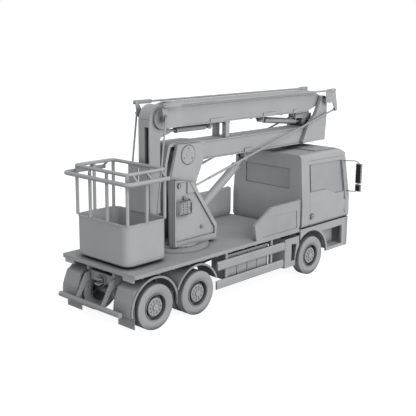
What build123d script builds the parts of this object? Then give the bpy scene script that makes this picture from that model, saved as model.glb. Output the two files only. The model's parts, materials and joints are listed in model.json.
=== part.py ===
from build123d import *
from math import hypot
import os

os.makedirs("parts", exist_ok=True)

# A three-axle truck with a folding aerial work platform, in millimetres.
# X points forward, Y to the truck's left and Z up from the road.
# Places along the truck are measured forward from the middle of the two rear axles.

# Layout of the truck
bogie_x = -2720.0
wheelbase = 5030.0
bogie_spread = 1330.0
body_half_width = 1200.0
running_gap = 5.0
seat_gap = 0.3
pin_gap = 1.0

# Wheels
tyre_radius = 520.0
tyre_width = 275.0
tyre_shoulder = 22.0
tyre_bead_inset = 28.0
wheel_outer_y = 1220.0
twin_pitch = 325.0
rim_radius = 305.0
rim_wall = 12.0
rim_setback = 10.0
wheel_disc_depth = 150.0
hub_radius = 210.0
hub_face_depth = 38.0
hub_wall = 14.0
hub_cap_radius = 85.0
hub_cap_height = 26.0
hub_boss_radius = 95.0
hub_boss_end = 230.0
spindle_radius = 45.0

# Frame rails
rail_y = 436.0
rail_width = 80.0
rail_height = 240.0
rail_z = 1031.0
rail_wall = 10.0
rail_rear = -1160.0
rail_front = 6560.0
cross_member_height = 90.0
cross_member_length = 70.0
cross_member_places = (-1120.0, 0.0, 1150.0, 2600.0, 3900.0, 6400.0)
end_plate = 12.0
cab_mount_length = 130.0
cab_mount_places = (4720.0, 6440.0)

# Deck
deck_top = 1375.4
deck_thickness = 86.0
deck_half_width = 1250.0
deck_rear = -1305.0
deck_front = 4430.0
deck_bearer_height = 45.0
deck_bearer_width = 60.0
deck_bearer_pitch = 470.0
deck_bearer_count = 12
deck_sill_width = 64.0
deck_seam_x = 180.0
deck_seam_width = 6.0
deck_seam_depth = 3.0

# Side boards
board_thickness = 100.0
board_rear_foot = 2680.0
board_rear_top = 2600.0
board_rear_height = 397.0
board_knee_x = 3248.0
board_knee_height = 756.0
board_front_height = 765.0
board_corner_radius = 90.0
board_recess_depth = 14.0
board_bevel = 34.0
board_dome_radius = 34.0

# Slew ring and turret
slew_x = 1080.0
slew_ring_radius = 830.0
slew_ring_height = 62.0
slew_race_radius = 640.0
turn_gap = 0.5
turret_plate_thickness = 46.0
turret_inner_y = 300.0
turret_outer_y = 490.0
turret_recess_depth = 16.0
cheek_outer_y = 385.0
pivot_disc_radius = 220.0
pivot_disc_height = 15.0
boom_pin_radius = 60.0

# Lower boom
lower_pivot_x = 1150.0
lower_pivot_z = 3585.0
lower_boom_bottom = 3385.0
lower_boom_top = 3830.0
lower_boom_half_width = 270.0
flange_overhang = 20.0
flange_thickness = 28.0
elbow_inner_y = 255.0
elbow_outer_y = 360.0
elbow_x = 6560.0
elbow_z = 4520.0
elbow_pin_radius = 50.0
hood_half_width = 284.0
hood_rear = 475.0
hood_top = 3872.0
hood_wall = 18.0
rest_x = 2700.0
rest_y = 165.0
rest_size = 130.0

# Upper boom
upper_boom_bottom = 4234.0
upper_boom_top = 4790.0
upper_boom_half_width = 250.0
upper_boom_rear = 900.0
ear_inner_y = 190.0
ear_radius = 220.0
third_pivot_x = 450.0
third_pivot_z = 4450.0
third_pin_radius = 50.0

# Third boom
third_boom_rear = 117.0
third_boom_front = 450.0
third_boom_half_width = 183.0
third_boom_crown = 320.0
basket_pivot_x = 165.0
basket_lug_radius = 90.0
basket_pin_radius = 35.0

# Levelling linkage
level_rod_y = 485.0
level_rod_z = 4790.0
level_rod_radius = 25.0
rear_level_pin_x = 300.0
front_level_pin_x = 6880.0
drop_pin_x = 345.0
drop_pin_z = 4543.0
drop_rod_radius = 22.0
tie_rod_y = 435.0
tie_rod_radius = 24.0
tie_sleeve_radius = 30.0
tie_foot_x = 1120.0
tie_foot_z = 2780.0
tie_head_x = 7000.0
tie_head_z = 4250.0
crank_thickness = 24.0
rear_crank_y = 446.0
rear_crank_thickness = 20.0
level_pin_radius = 14.0

# Cylinders, each from its barrel's pin to its rod's pin
lift_foot_x = 1620.0
lift_foot_z = 1886.0
lift_head_x = 3570.0
lift_head_z = 3213.0
lift_barrel_radius = 110.0
lift_rod_radius = 62.0
lift_barrel_length = 2020.0
fold_foot_x = 4225.0
fold_foot_z = 4128.0
fold_head_x = 6200.0
fold_head_z = 3920.0
fold_barrel_radius = 80.0
fold_rod_radius = 42.0
fold_barrel_length = 1480.0
jib_foot_x = 2231.0
jib_foot_z = 4125.0
jib_head_x = 845.0
jib_head_z = 4135.0
jib_barrel_radius = 70.0
jib_rod_radius = 36.0
jib_barrel_length = 1130.0
eye_radius = 55.0
clevis_plate = 24.0

# Basket
tub_rear = -1190.0
tub_front = 15.0
tub_half_width = 880.0
tub_bottom = 1425.4
tub_rim = 2360.0
basket_pivot_drop = 150.0
basket_pivot_z = tub_rim - basket_pivot_drop
third_boom_foot = basket_pivot_z + 65
tub_corner_radius = 200.0
tub_wall = 40.0
tub_lip = 10.0
inner_rail_rear = -1172.0
inner_rail_front = -61.0
inner_rail_half_width = 878.0
inner_rail_z = 3459.0
inner_rail_tube = 80.0
outer_rail_rear = -1313.0
outer_rail_front = -148.0
outer_rail_half_width = 1078.0
outer_rail_z = 3289.0
outer_rail_tube = 96.0
rail_corner_radius = 120.0
post_tube = 76.0

# Cab
cab_rear = 4590.0
cab_roof = 3260.0
cab_floor = 1310.0
cab_wall = 70.0
cab_windscreen_foot = 6765.0
cab_windscreen_foot_z = 1933.0
cab_shoulder_z = 1960.0
cab_top_half_width = 1105.0
cab_corner_radius = 110.0
door_rear = 4930.0
door_foot = 1380.0
door_head = 3080.0
pane_thickness = 12.0
arch_radius = 735.0
arch_z = 470.0


def fore(distance):
    """Place along the truck, measured forward from the middle of the rear axles."""
    return bogie_x + distance


def side_view(y=0.0):
    """Drawing plane at one place across the truck, with x forward and z up. It is drawn out to the right."""
    return Plane(origin=(0, y, 0), x_dir=(1, 0, 0), z_dir=(0, -1, 0))


def rear_view(x):
    """Drawing plane at one place along the truck, with y to the left and z up. It is drawn out forward."""
    return Plane(origin=(x, 0, 0), x_dir=(0, 1, 0), z_dir=(1, 0, 0))


def plan_view(z):
    """Level drawing plane at one height. It is drawn out upward."""
    return Plane.XY.offset(z)


def along(start_x, start_z, end_x, end_z, y=0.0):
    """Plane square to the line from a start to an end, both in one side view, at the start."""
    return Plane(
        origin=(start_x, y, start_z),
        x_dir=(0, 1, 0),
        z_dir=(end_x - start_x, 0, end_z - start_z),
    )


def outline(points):
    """Closed shape through a short list of points along the truck and up."""
    return Polygon(*[(fore(x), z) for x, z in points], align=None)


# Frame rails with their cross members
with BuildPart() as chassis_frame:
    with BuildSketch(rear_view(fore(rail_rear))):
        with Locations((-rail_y, rail_z)):
            Rectangle(rail_width, rail_height)
        with Locations((-rail_y + rail_wall, rail_z)):
            Rectangle(rail_width, rail_height - 2 * rail_wall, mode=Mode.SUBTRACT)
    extrude(amount=rail_front - rail_rear)
    mirror(about=Plane.XZ)
    web_y = rail_y + rail_width / 2 - rail_wall
    member_z = rail_z + rail_height / 2 - rail_wall - cross_member_height / 2
    with Locations(*[(fore(x), 0, member_z) for x in cross_member_places]):
        Box(cross_member_length, 2 * web_y, cross_member_height)
    with Locations((fore(rail_rear) + end_plate / 2, 0, rail_z)):
        Box(end_plate, 2 * web_y, rail_height - 2 * rail_wall)
    # Mounts carry the cab's floor above the rails.
    mount_height = cab_floor - rail_z - rail_height / 2
    for x in cab_mount_places:
        for across in (-rail_y, rail_y):
            with Locations((fore(x), across, cab_floor - mount_height / 2)):
                Box(cab_mount_length, rail_width, mount_height)
chassis_frame.part.label = "chassis_frame"
export_step(chassis_frame.part, "parts/chassis_frame.step")

# Engine and gearbox between the rails, with mounts that reach the rail webs
shaft_start_x = fore(4120.0)
shaft_start_z = 905.0
shaft_radius = 52.0
flange_radius = 85.0
flange_length = 24.0
pinion_reach = 250.0
shaft_end_x = fore(bogie_spread / 2 + pinion_reach)
shaft_end_z = 610.0
with BuildPart() as engine_block:
    with Locations((fore(5330), 0, 950)):
        Box(1180, 620, 600)
    fillet(engine_block.edges().filter_by(Axis.X), radius=60)
    with BuildSketch(rear_view(fore(4740))):
        with Locations((0, 900)):
            Circle(190)
    extrude(amount=-(fore(4740) - shaft_start_x - 60), taper=6)
    with BuildSketch(along(shaft_start_x, shaft_start_z, shaft_end_x, shaft_end_z)):
        Circle(flange_radius)
    extrude(amount=-90)
    with Locations((fore(5000), 0, 1030), (fore(5700), 0, 1030)):
        Box(90, 2 * (rail_y + rail_width / 2 - rail_wall), 80)
engine_block.part.label = "engine_block"
export_step(engine_block.part, "parts/engine_block.step")

# Drive shafts: one to the first rear axle, a short one on to the second
shaft_length = hypot(shaft_end_x - shaft_start_x, shaft_end_z - shaft_start_z)
with BuildPart() as drive_shafts:
    with BuildSketch(along(shaft_start_x, shaft_start_z, shaft_end_x, shaft_end_z)):
        Circle(flange_radius)
    extrude(amount=flange_length)
    with BuildSketch(along(shaft_start_x, shaft_start_z, shaft_end_x, shaft_end_z)):
        Circle(shaft_radius)
    extrude(amount=shaft_length)
    with BuildSketch(along(shaft_end_x, shaft_end_z, shaft_start_x, shaft_start_z)):
        Circle(flange_radius)
    extrude(amount=flange_length)
    with BuildSketch(rear_view(fore(-bogie_spread / 2 + pinion_reach))):
        with Locations((0, shaft_end_z)):
            Circle(shaft_radius)
    extrude(amount=bogie_spread - 2 * pinion_reach)
drive_shafts.part.label = "drive_shafts"
export_step(drive_shafts.part, "parts/drive_shafts.step")

# Front axle: a dropped beam with a spring seat and a kingpin eye at each end
kingpin_y = 800.0
kingpin_radius = 24.0
axle_eye_radius = 52.0
axle_eye_half_height = 110.0
axle_beam_height = 110.0
axle_beam_width = 90.0
axle_drop = 95.0
front_spring_z = 600.0
spring_thickness = 60.0
spring_width = 75.0
with BuildPart() as front_axle:
    with BuildSketch(rear_view(fore(wheelbase) - axle_beam_width / 2)):
        with BuildLine():
            Polyline(
                (0, tyre_radius - axle_drop - axle_beam_height / 2),
                (560, tyre_radius - axle_drop - axle_beam_height / 2),
                (kingpin_y - axle_eye_radius + 20, tyre_radius - axle_beam_height / 2),
                (kingpin_y - axle_eye_radius + 20, tyre_radius + axle_beam_height / 2),
                (540, tyre_radius - axle_drop + axle_beam_height / 2),
                (0, tyre_radius - axle_drop + axle_beam_height / 2),
                close=True,
            )
        make_face()
    extrude(amount=axle_beam_width)
    seat_bottom = tyre_radius - axle_drop + axle_beam_height / 2
    seat_height = front_spring_z - spring_thickness / 2 - seat_bottom
    with Locations((fore(wheelbase), rail_y, seat_bottom + seat_height / 2)):
        Box(150, spring_width, seat_height)
    with Locations((fore(wheelbase), kingpin_y, tyre_radius)):
        Cylinder(axle_eye_radius, 2 * axle_eye_half_height)
        Cylinder(kingpin_radius + pin_gap, 2 * axle_eye_half_height, mode=Mode.SUBTRACT)
    mirror(about=Plane.XZ)
front_axle.part.label = "front_axle"
export_step(front_axle.part, "parts/front_axle.step")

# Leaf springs: one pair over the front axle, one pair that bridges the two rear axles.
# Columns: middle along the truck, across, height of the ends, height of the middle, half length
rear_spring_y = 532.0
rear_spring_end_z = 672.0
springs = (
    (wheelbase, rail_y, 760.0, front_spring_z, 700.0),
    (0.0, rear_spring_y, rear_spring_end_z, 775.0, 700.0),
)
with BuildPart() as leaf_springs:
    for middle, across, end_z, middle_z, half_length in springs:
        with BuildSketch(side_view(-across + spring_width / 2)):
            with BuildLine():
                low = ThreePointArc(
                    (fore(middle) - half_length, end_z - spring_thickness / 2),
                    (fore(middle), middle_z - spring_thickness / 2),
                    (fore(middle) + half_length, end_z - spring_thickness / 2),
                )
                high = ThreePointArc(
                    (fore(middle) - half_length, end_z + spring_thickness / 2),
                    (fore(middle), middle_z + spring_thickness / 2),
                    (fore(middle) + half_length, end_z + spring_thickness / 2),
                )
                Line(low @ 0, high @ 0)
                Line(low @ 1, high @ 1)
            make_face()
        extrude(amount=spring_width)
    # Hangers carry the front springs, and saddles on the rails carry the rear ones.
    hanger_z = rail_z - rail_height / 2
    with Locations(
        (fore(wheelbase) - 660, -rail_y, (760 + hanger_z) / 2),
        (fore(wheelbase) + 660, -rail_y, (760 + hanger_z) / 2),
    ):
        Box(70, spring_width - 10, hanger_z - 760)
    saddle_inner = rail_y + rail_width / 2
    saddle_outer = rear_spring_y + spring_width / 2
    with Locations((fore(0), -(saddle_inner + saddle_outer) / 2, 890)):
        Box(190, saddle_outer - saddle_inner, 270)
    mirror(about=Plane.XZ)
leaf_springs.part.label = "leaf_springs"
export_step(leaf_springs.part, "parts/leaf_springs.step")

# Rear axles: a tube with a round drive head, a pinion nose, spring seats and wheel spindles
axle_tube_radius = 74.0
axle_tube_end = 960.0
drive_head_radius = 185.0
spindle_end = 1150.0
with BuildPart() as rear_axles:
    for middle in (bogie_spread / 2, -bogie_spread / 2):
        x = fore(middle)
        with BuildSketch(side_view()):
            with Locations((x, tyre_radius)):
                Circle(axle_tube_radius)
        extrude(amount=axle_tube_end, both=True)
        with BuildSketch(side_view()):
            with Locations((x, tyre_radius)):
                Circle(spindle_radius)
        extrude(amount=spindle_end, both=True)
        with Locations((x, 0, tyre_radius + 20)):
            Sphere(drive_head_radius)
        seat_top = rear_spring_end_z - spring_thickness / 2 - seat_gap
        for across in (-rear_spring_y, rear_spring_y):
            with Locations((x, across, (tyre_radius + seat_top) / 2)):
                Box(130, spring_width - 12, seat_top - tyre_radius)
    with BuildSketch(along(shaft_end_x, shaft_end_z, shaft_start_x, shaft_start_z)):
        Circle(flange_radius)
    extrude(amount=-120)
    with BuildSketch(rear_view(fore(-bogie_spread / 2 + pinion_reach))):
        with Locations((0, shaft_end_z)):
            Circle(flange_radius)
    extrude(amount=-120)
    with BuildSketch(rear_view(fore(bogie_spread / 2 - pinion_reach))):
        with Locations((0, shaft_end_z)):
            Circle(flange_radius)
    extrude(amount=120)
rear_axles.part.label = "rear_axles"
export_step(rear_axles.part, "parts/rear_axles.step")

# Steering knuckles: a yoke round the axle's kingpin eye, with the wheel's spindle
yoke_thickness = 46.0
yoke_width = 110.0
yoke_web_inner = 62.0
yoke_web_outer = 92.0
lug_gap = 1.0
for name, side in (("left", 1), ("right", -1)):
    with BuildPart() as knuckle:
        lug_offset = axle_eye_half_height + lug_gap + yoke_thickness / 2
        for direction in (-1, 1):
            place = (fore(wheelbase), side * kingpin_y, tyre_radius + direction * lug_offset)
            with Locations(place):
                Cylinder(yoke_width / 2, yoke_thickness)
            web_place = (
                fore(wheelbase),
                side * (kingpin_y + yoke_web_inner / 2),
                tyre_radius + direction * lug_offset,
            )
            with Locations(web_place):
                Box(yoke_width, yoke_web_inner, yoke_thickness)
        web_y = kingpin_y + (yoke_web_inner + yoke_web_outer) / 2
        with Locations((fore(wheelbase), side * web_y, tyre_radius)):
            Box(yoke_width, yoke_web_outer - yoke_web_inner, 2 * lug_offset + yoke_thickness)
        with Locations((fore(wheelbase), side * kingpin_y, tyre_radius)):
            Cylinder(kingpin_radius, 2 * lug_offset)
        with BuildSketch(side_view(side * (kingpin_y + yoke_web_outer))):
            with Locations((fore(wheelbase), tyre_radius)):
                Circle(spindle_radius)
        extrude(amount=-side * (spindle_end - kingpin_y - yoke_web_outer))
    knuckle.part.label = f"knuckle_{name}"
    export_step(knuckle.part, f"parts/knuckle_{name}.step")

# Wheels: a single one on each end of the front axle and twins on the rear axles.
# Columns: name, place along the truck, side, tyres
wheels = (
    ("front_left", wheelbase, 1, 1),
    ("front_right", wheelbase, -1, 1),
    ("middle_left", bogie_spread / 2, 1, 2),
    ("middle_right", bogie_spread / 2, -1, 2),
    ("rear_left", -bogie_spread / 2, 1, 2),
    ("rear_right", -bogie_spread / 2, -1, 2),
)
for name, place, side, tyres in wheels:
    x = fore(place)
    wheel_axis = Axis((x, 0, tyre_radius), (0, 1, 0))
    # Sections are drawn inward from the wheel's outer face, and up from the axle.
    section = Plane(
        origin=(x, side * wheel_outer_y, tyre_radius), x_dir=(0, -side, 0), z_dir=(-side, 0, 0)
    )
    with BuildPart() as tyre:
        for twin in range(tyres):
            with BuildSketch(section):
                start = twin * twin_pitch
                end = start + tyre_width
                bead = rim_radius + seat_gap
                bulge = tyre_radius - 75
                Polygon(
                    (start + tyre_bead_inset, bead),
                    (start, bulge - 60),
                    (start, bulge),
                    (start + tyre_shoulder, tyre_radius - 8),
                    (start + 2 * tyre_shoulder, tyre_radius),
                    (end - 2 * tyre_shoulder, tyre_radius),
                    (end - tyre_shoulder, tyre_radius - 8),
                    (end, bulge),
                    (end, bulge - 60),
                    (end - tyre_bead_inset, bead),
                    align=None,
                )
            revolve(axis=wheel_axis)
    tyre.part.label = f"tyre_{name}"
    export_step(tyre.part, f"parts/tyre_{name}.step")

    with BuildPart() as rim:
        with BuildSketch(section):
            barrel_end = (tyres - 1) * twin_pitch + tyre_width - rim_setback
            inside = rim_radius - rim_wall
            hub_inside = hub_radius - hub_wall
            bore = spindle_radius + pin_gap
            Polygon(
                (rim_setback, rim_radius),
                (barrel_end, rim_radius),
                (barrel_end, inside),
                (wheel_disc_depth + hub_wall, inside),
                (wheel_disc_depth + hub_wall, hub_inside),
                (hub_face_depth + hub_wall, hub_inside),
                (hub_face_depth + hub_wall, hub_boss_radius),
                (hub_boss_end, hub_boss_radius),
                (hub_boss_end, bore),
                (hub_face_depth + hub_wall, bore),
                (hub_face_depth + hub_wall, 0),
                (hub_face_depth - hub_cap_height, 0),
                (hub_face_depth - hub_cap_height, hub_cap_radius - 12),
                (hub_face_depth, hub_cap_radius),
                (hub_face_depth, hub_radius - 10),
                (hub_face_depth + 10, hub_radius),
                (wheel_disc_depth, hub_radius),
                (wheel_disc_depth, inside),
                (rim_setback, inside),
                align=None,
            )
        revolve(axis=wheel_axis)
    rim.part.label = f"rim_{name}"
    export_step(rim.part, f"parts/rim_{name}.step")

# Deck: a plate with rounded rear corners, cross bearers under its edges and sills on the rails
with BuildPart() as deck:
    with BuildSketch(plan_view(deck_top - deck_thickness)):
        with Locations((fore((deck_rear + deck_front) / 2), 0)):
            Rectangle(deck_front - deck_rear, 2 * deck_half_width)
    extrude(amount=deck_thickness)
    fillet(deck.edges().filter_by(Axis.Z).group_by(Axis.X)[0], radius=45)
    # Seam between the rear load plate and the plate under the turret
    with Locations((fore(deck_seam_x), 0, deck_top)):
        Box(deck_seam_width, 2 * deck_half_width + 2, 2 * deck_seam_depth, mode=Mode.SUBTRACT)
    bearer_inner = rail_y + rail_width
    bearer_length = deck_half_width - 70 - bearer_inner
    bearer_z = deck_top - deck_thickness - deck_bearer_height / 2
    bearer_x = fore((deck_rear + deck_front) / 2)
    for side in (-1, 1):
        with Locations((bearer_x, side * (bearer_inner + bearer_length / 2), bearer_z)):
            with GridLocations(deck_bearer_pitch, 1, deck_bearer_count, 1):
                Box(deck_bearer_width, bearer_length, deck_bearer_height)
        sill_bottom = rail_z + rail_height / 2
        sill_height = deck_top - deck_thickness - sill_bottom
        with Locations((bearer_x - 60, side * rail_y, sill_bottom + sill_height / 2)):
            Box(deck_front - deck_rear - 300, deck_sill_width, sill_height)
deck.part.label = "deck"
export_step(deck.part, "parts/deck.step")

# Side boards: raised at the front, with a long slope, a recessed panel and a round cap
with BuildPart() as side_boards:
    board_rear_top_z = deck_top + board_rear_height
    board_knee_z = deck_top + board_knee_height
    board_front_z = deck_top + board_front_height
    with BuildSketch(side_view(-deck_half_width + board_thickness)) as board_shape:
        outline(
            (
                (board_rear_foot, deck_top),
                (board_rear_top, board_rear_top_z),
                (board_knee_x, board_knee_z),
                (deck_front, board_front_z),
                (deck_front, deck_top),
            )
        )
        fillet(board_shape.vertices().group_by(Axis.X)[-1].sort_by(Axis.Z)[-1], board_corner_radius)
    extrude(amount=board_thickness)
    # The inner edge is bevelled along the slope and the top.
    with BuildSketch(side_view(-deck_half_width)):
        outline(
            (
                (board_knee_x + 142, deck_top + 525),
                (4283, deck_top + 508),
                (4318, deck_top + 40),
                (2929, deck_top + 40),
                (2929, deck_top + 213),
            )
        )
    extrude(amount=-board_recess_depth, mode=Mode.SUBTRACT)
    inner_face = side_boards.faces().filter_by(Plane.XZ).sort_by(Axis.Y)[-1]
    chamfer(inner_face.edges().sort_by(Axis.Z)[-2:], board_bevel)
    with Locations((fore(deck_front - 60), -deck_half_width + 36, board_front_z - 12)):
        Sphere(board_dome_radius)
    mirror(about=Plane.XZ)
side_boards.part.label = "side_boards"
export_step(side_boards.part, "parts/side_boards.step")

# Slew ring: a stepped ring bolted to the deck
with BuildPart() as slew_ring:
    with BuildSketch(plan_view(deck_top)):
        with Locations((fore(slew_x), 0)):
            Circle(slew_ring_radius)
            Circle(slew_race_radius - 130, mode=Mode.SUBTRACT)
    extrude(amount=slew_ring_height * 0.55)
    with BuildSketch(plan_view(deck_top)):
        with Locations((fore(slew_x), 0)):
            Circle(slew_race_radius)
            Circle(slew_race_radius - 130, mode=Mode.SUBTRACT)
    extrude(amount=slew_ring_height)
slew_ring.part.label = "slew_ring"
export_step(slew_ring.part, "parts/slew_ring.step")

# Cab: a tall box with a leaning windscreen and sides that lean in above the belt line
cab_nose = 6800.0
cab_brow_z = 3142.0
cab_roof_end = 6400.0
cab_top_front = 6600.0
pane_inset = 24.0


def cab_body(inset):
    """The cab's closed outer form, drawn in by one distance on every side."""
    with BuildPart() as body:
        with BuildSketch(side_view()) as profile:
            outline(
                (
                    (cab_rear, cab_floor),
                    (cab_rear, cab_roof),
                    (cab_roof_end, cab_roof),
                    (cab_top_front, cab_brow_z),
                    (cab_windscreen_foot, cab_windscreen_foot_z),
                    (cab_nose, cab_floor),
                )
            )
            if inset > 0:
                offset(amount=-inset, kind=Kind.INTERSECTION, mode=Mode.REPLACE)
        extrude(amount=body_half_width, both=True)
        with BuildSketch(rear_view(fore(cab_rear) - 10)) as section:
            Polygon(
                (-body_half_width, cab_floor),
                (-body_half_width, cab_shoulder_z),
                (-cab_top_half_width, cab_roof),
                (cab_top_half_width, cab_roof),
                (body_half_width, cab_shoulder_z),
                (body_half_width, cab_floor),
                align=None,
            )
            fillet(section.vertices().group_by(Axis.Z)[-1], radius=cab_corner_radius)
            if inset > 0:
                offset(amount=-inset, kind=Kind.INTERSECTION, mode=Mode.REPLACE)
        extrude(amount=cab_nose - cab_rear + 20, mode=Mode.INTERSECT)
    return body.part


def cab_layer(outer_inset, inner_inset):
    """A layer of the cab's wall, from one depth to another."""
    with BuildPart() as layer:
        add(cab_body(outer_inset))
        add(cab_body(inner_inset), mode=Mode.SUBTRACT)
    return layer.part


cab_skin = cab_layer(0, cab_wall)
glass_layer = cab_layer(pane_inset, pane_inset + pane_thickness)

# Outlines of the door and of its stepped window, along the truck and up
door_outline = (
    (door_rear, door_foot),
    (door_rear, door_head),
    (6455, door_head - 20),
    (6570, 2060),
    (6570, door_foot),
)
door_window = (
    (4990, 2250),
    (4990, 2985),
    (6395, 2955),
    (6510, 2070),
    (6110, 2080),
    (5670, 2245),
)
window_corner = 30.0
side_reach = 240.0
windscreen_corners = ((-1020, 2075), (-945, 3010), (945, 3010), (1020, 2075))
rear_window_width = 1500.0
rear_window_height = 540.0
rear_window_z = 2615.0
grille_width = 1560.0
grille_height = 420.0
grille_z = 1600.0
roof_panel_height = 22.0
hatch_height = 18.0

hinge_x = 6590.0
hinge_y = body_half_width + 10.0
hinge_heights = (1520.0, 1880.0)
hinge_radius = 9.0
hinge_pin_radius = 5.0
hinge_knuckle = 44.0
hinge_leaf = 50.0
leaf_thickness = 9.0
leaf_y = body_half_width + leaf_thickness / 2 - 1.0
with BuildPart() as cab_shell:
    add(cab_skin)
    with BuildSketch(rear_view(fore(cab_roof_end) - 60)):
        Polygon(*windscreen_corners, align=None)
    extrude(amount=600, mode=Mode.SUBTRACT)
    with BuildSketch(rear_view(fore(cab_rear) - 10)):
        with Locations((0, rear_window_z)):
            RectangleRounded(rear_window_width, rear_window_height, window_corner)
    extrude(amount=cab_wall + 20, mode=Mode.SUBTRACT)
    with BuildSketch(rear_view(fore(cab_windscreen_foot) - 200)):
        with Locations((0, grille_z)):
            Rectangle(grille_width, grille_height)
    extrude(amount=300, mode=Mode.SUBTRACT)
    for side in (-1, 1):
        with BuildSketch(side_view(side * (body_half_width + 20))):
            outline(door_outline)
            offset(amount=running_gap, kind=Kind.INTERSECTION)
        extrude(amount=side * side_reach, mode=Mode.SUBTRACT)
    # Raised middle of the roof with its hatch
    with BuildSketch(plan_view(cab_roof - 10)):
        Polygon(
            (fore(5470), -900),
            (fore(6330), -960),
            (fore(6330), 960),
            (fore(5470), 900),
            align=None,
        )
    extrude(amount=10 + roof_panel_height)
    with BuildSketch(plan_view(cab_roof + roof_panel_height)):
        with Locations((fore(5850), 0)):
            RectangleRounded(540, 820, 60)
    extrude(amount=hatch_height)
    # Door hinges: a leaf and a knuckle with an upright pin on each front pillar
    for side in (-1, 1):
        for z in hinge_heights:
            knuckle_place = (fore(hinge_x), side * hinge_y, z - hinge_knuckle / 2)
            with Locations(knuckle_place):
                Cylinder(hinge_radius, hinge_knuckle)
            with Locations((fore(hinge_x), side * hinge_y, z)):
                Cylinder(hinge_pin_radius, 2 * hinge_knuckle)
            with Locations((fore(hinge_x) + hinge_leaf / 2, side * leaf_y, z - hinge_knuckle / 2)):
                Box(hinge_leaf, leaf_thickness, hinge_knuckle)
cab_shell.part.label = "cab_shell"
export_step(cab_shell.part, "parts/cab_shell.step")

# Windscreen and rear window
with BuildPart() as cab_panes:
    add(glass_layer)
    with BuildSketch(rear_view(fore(cab_roof_end) - 60)):
        Polygon(*windscreen_corners, align=None)
        offset(amount=-seat_gap, kind=Kind.INTERSECTION, mode=Mode.REPLACE)
    extrude(amount=600, mode=Mode.INTERSECT)
    with BuildSketch(rear_view(fore(cab_rear) + pane_inset)):
        with Locations((0, rear_window_z)):
            RectangleRounded(
                rear_window_width - 2 * seat_gap, rear_window_height - 2 * seat_gap, window_corner
            )
    extrude(amount=pane_thickness)
cab_panes.part.label = "cab_panes"
export_step(cab_panes.part, "parts/cab_panes.step")

# Doors, cut from the cab's own wall, each with a handle recess and its stepped window
handle_centre = (5025, 1595)
handle_size = (190, 120)
for name, side in (("left", 1), ("right", -1)):
    with BuildPart() as door:
        with BuildSketch(side_view(side * (body_half_width + 20))):
            outline(door_outline)
        extrude(amount=side * side_reach)
        add(cab_skin, mode=Mode.INTERSECT)
        with BuildSketch(side_view(side * (body_half_width + 20))) as opening:
            outline(door_window)
            fillet(opening.vertices(), radius=window_corner)
        extrude(amount=side * side_reach, mode=Mode.SUBTRACT)
        with BuildSketch(side_view(side * body_half_width)):
            with Locations((fore(handle_centre[0]), handle_centre[1])):
                RectangleRounded(*handle_size, 24)
        extrude(amount=side * 30, mode=Mode.SUBTRACT)
        with BuildSketch(side_view(side * (body_half_width - 8))):
            with Locations((fore(handle_centre[0]), handle_centre[1] + 18)):
                Rectangle(handle_size[0], 34)
        extrude(amount=side * 24)
        # Hinge straps: a knuckle that turns on the pillar's pin, and a leaf on the door's face
        for z in hinge_heights:
            strap_z = z + hinge_knuckle / 2 + seat_gap
            strap_rear = fore(door_outline[-1][0]) - hinge_leaf
            with Locations((fore(hinge_x), side * hinge_y, strap_z)):
                Cylinder(hinge_radius, hinge_knuckle)
            with Locations(((strap_rear + fore(hinge_x)) / 2, side * hinge_y, strap_z)):
                Box(fore(hinge_x) - strap_rear, hinge_radius, hinge_knuckle)
            with Locations((strap_rear + 20, side * (body_half_width + 5), strap_z)):
                Box(40, 10, hinge_knuckle)
            with Locations((fore(hinge_x), side * hinge_y, strap_z)):
                Cylinder(hinge_pin_radius + seat_gap, hinge_knuckle, mode=Mode.SUBTRACT)
    door.part.label = f"door_{name}"
    export_step(door.part, f"parts/door_{name}.step")

    with BuildPart() as door_pane:
        with BuildSketch(side_view(side * (body_half_width + 20))) as opening:
            outline(door_window)
            fillet(opening.vertices(), radius=window_corner)
            offset(amount=-seat_gap, kind=Kind.INTERSECTION, mode=Mode.REPLACE)
        extrude(amount=side * side_reach)
        add(glass_layer, mode=Mode.INTERSECT)
    door_pane.part.label = f"door_pane_{name}"
    export_step(door_pane.part, f"parts/door_pane_{name}.step")

# Panels below the cab, with the front wheel's arch and the boarding steps
wing_thickness = 60.0
wing_inner = body_half_width - wing_thickness
bumper_rear = 6640.0
well_outline = ((5705, 1070), (6485, 1062), (6510, 590), (5935, 585))
step_plate = 24.0
with BuildPart() as cab_wings:
    with BuildSketch(side_view(-wing_inner)):
        outline(
            (
                (cab_rear - 40, cab_floor),
                (bumper_rear, cab_floor),
                (bumper_rear, 497),
                (wheelbase + arch_radius - 20, 497),
                (cab_rear - 40, 800),
            )
        )
        with Locations((fore(wheelbase), arch_z)):
            Circle(arch_radius, mode=Mode.SUBTRACT)
        Polygon(*[(fore(x), z) for x, z in well_outline], align=None, mode=Mode.SUBTRACT)
    extrude(amount=wing_thickness)
    well_middle = fore(6225)
    with Locations((well_middle, -wing_inner + 140, 585 - step_plate / 2)):
        Box(570, 280, step_plate)
    with Locations((well_middle, -wing_inner + 150, 826)):
        Box(520, 270, step_plate)
    with Locations((well_middle, -wing_inner + 292, 830)):
        Box(570, 24, 515)
    mirror(about=Plane.XZ)
cab_wings.part.label = "cab_wings"
export_step(cab_wings.part, "parts/cab_wings.step")

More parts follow.
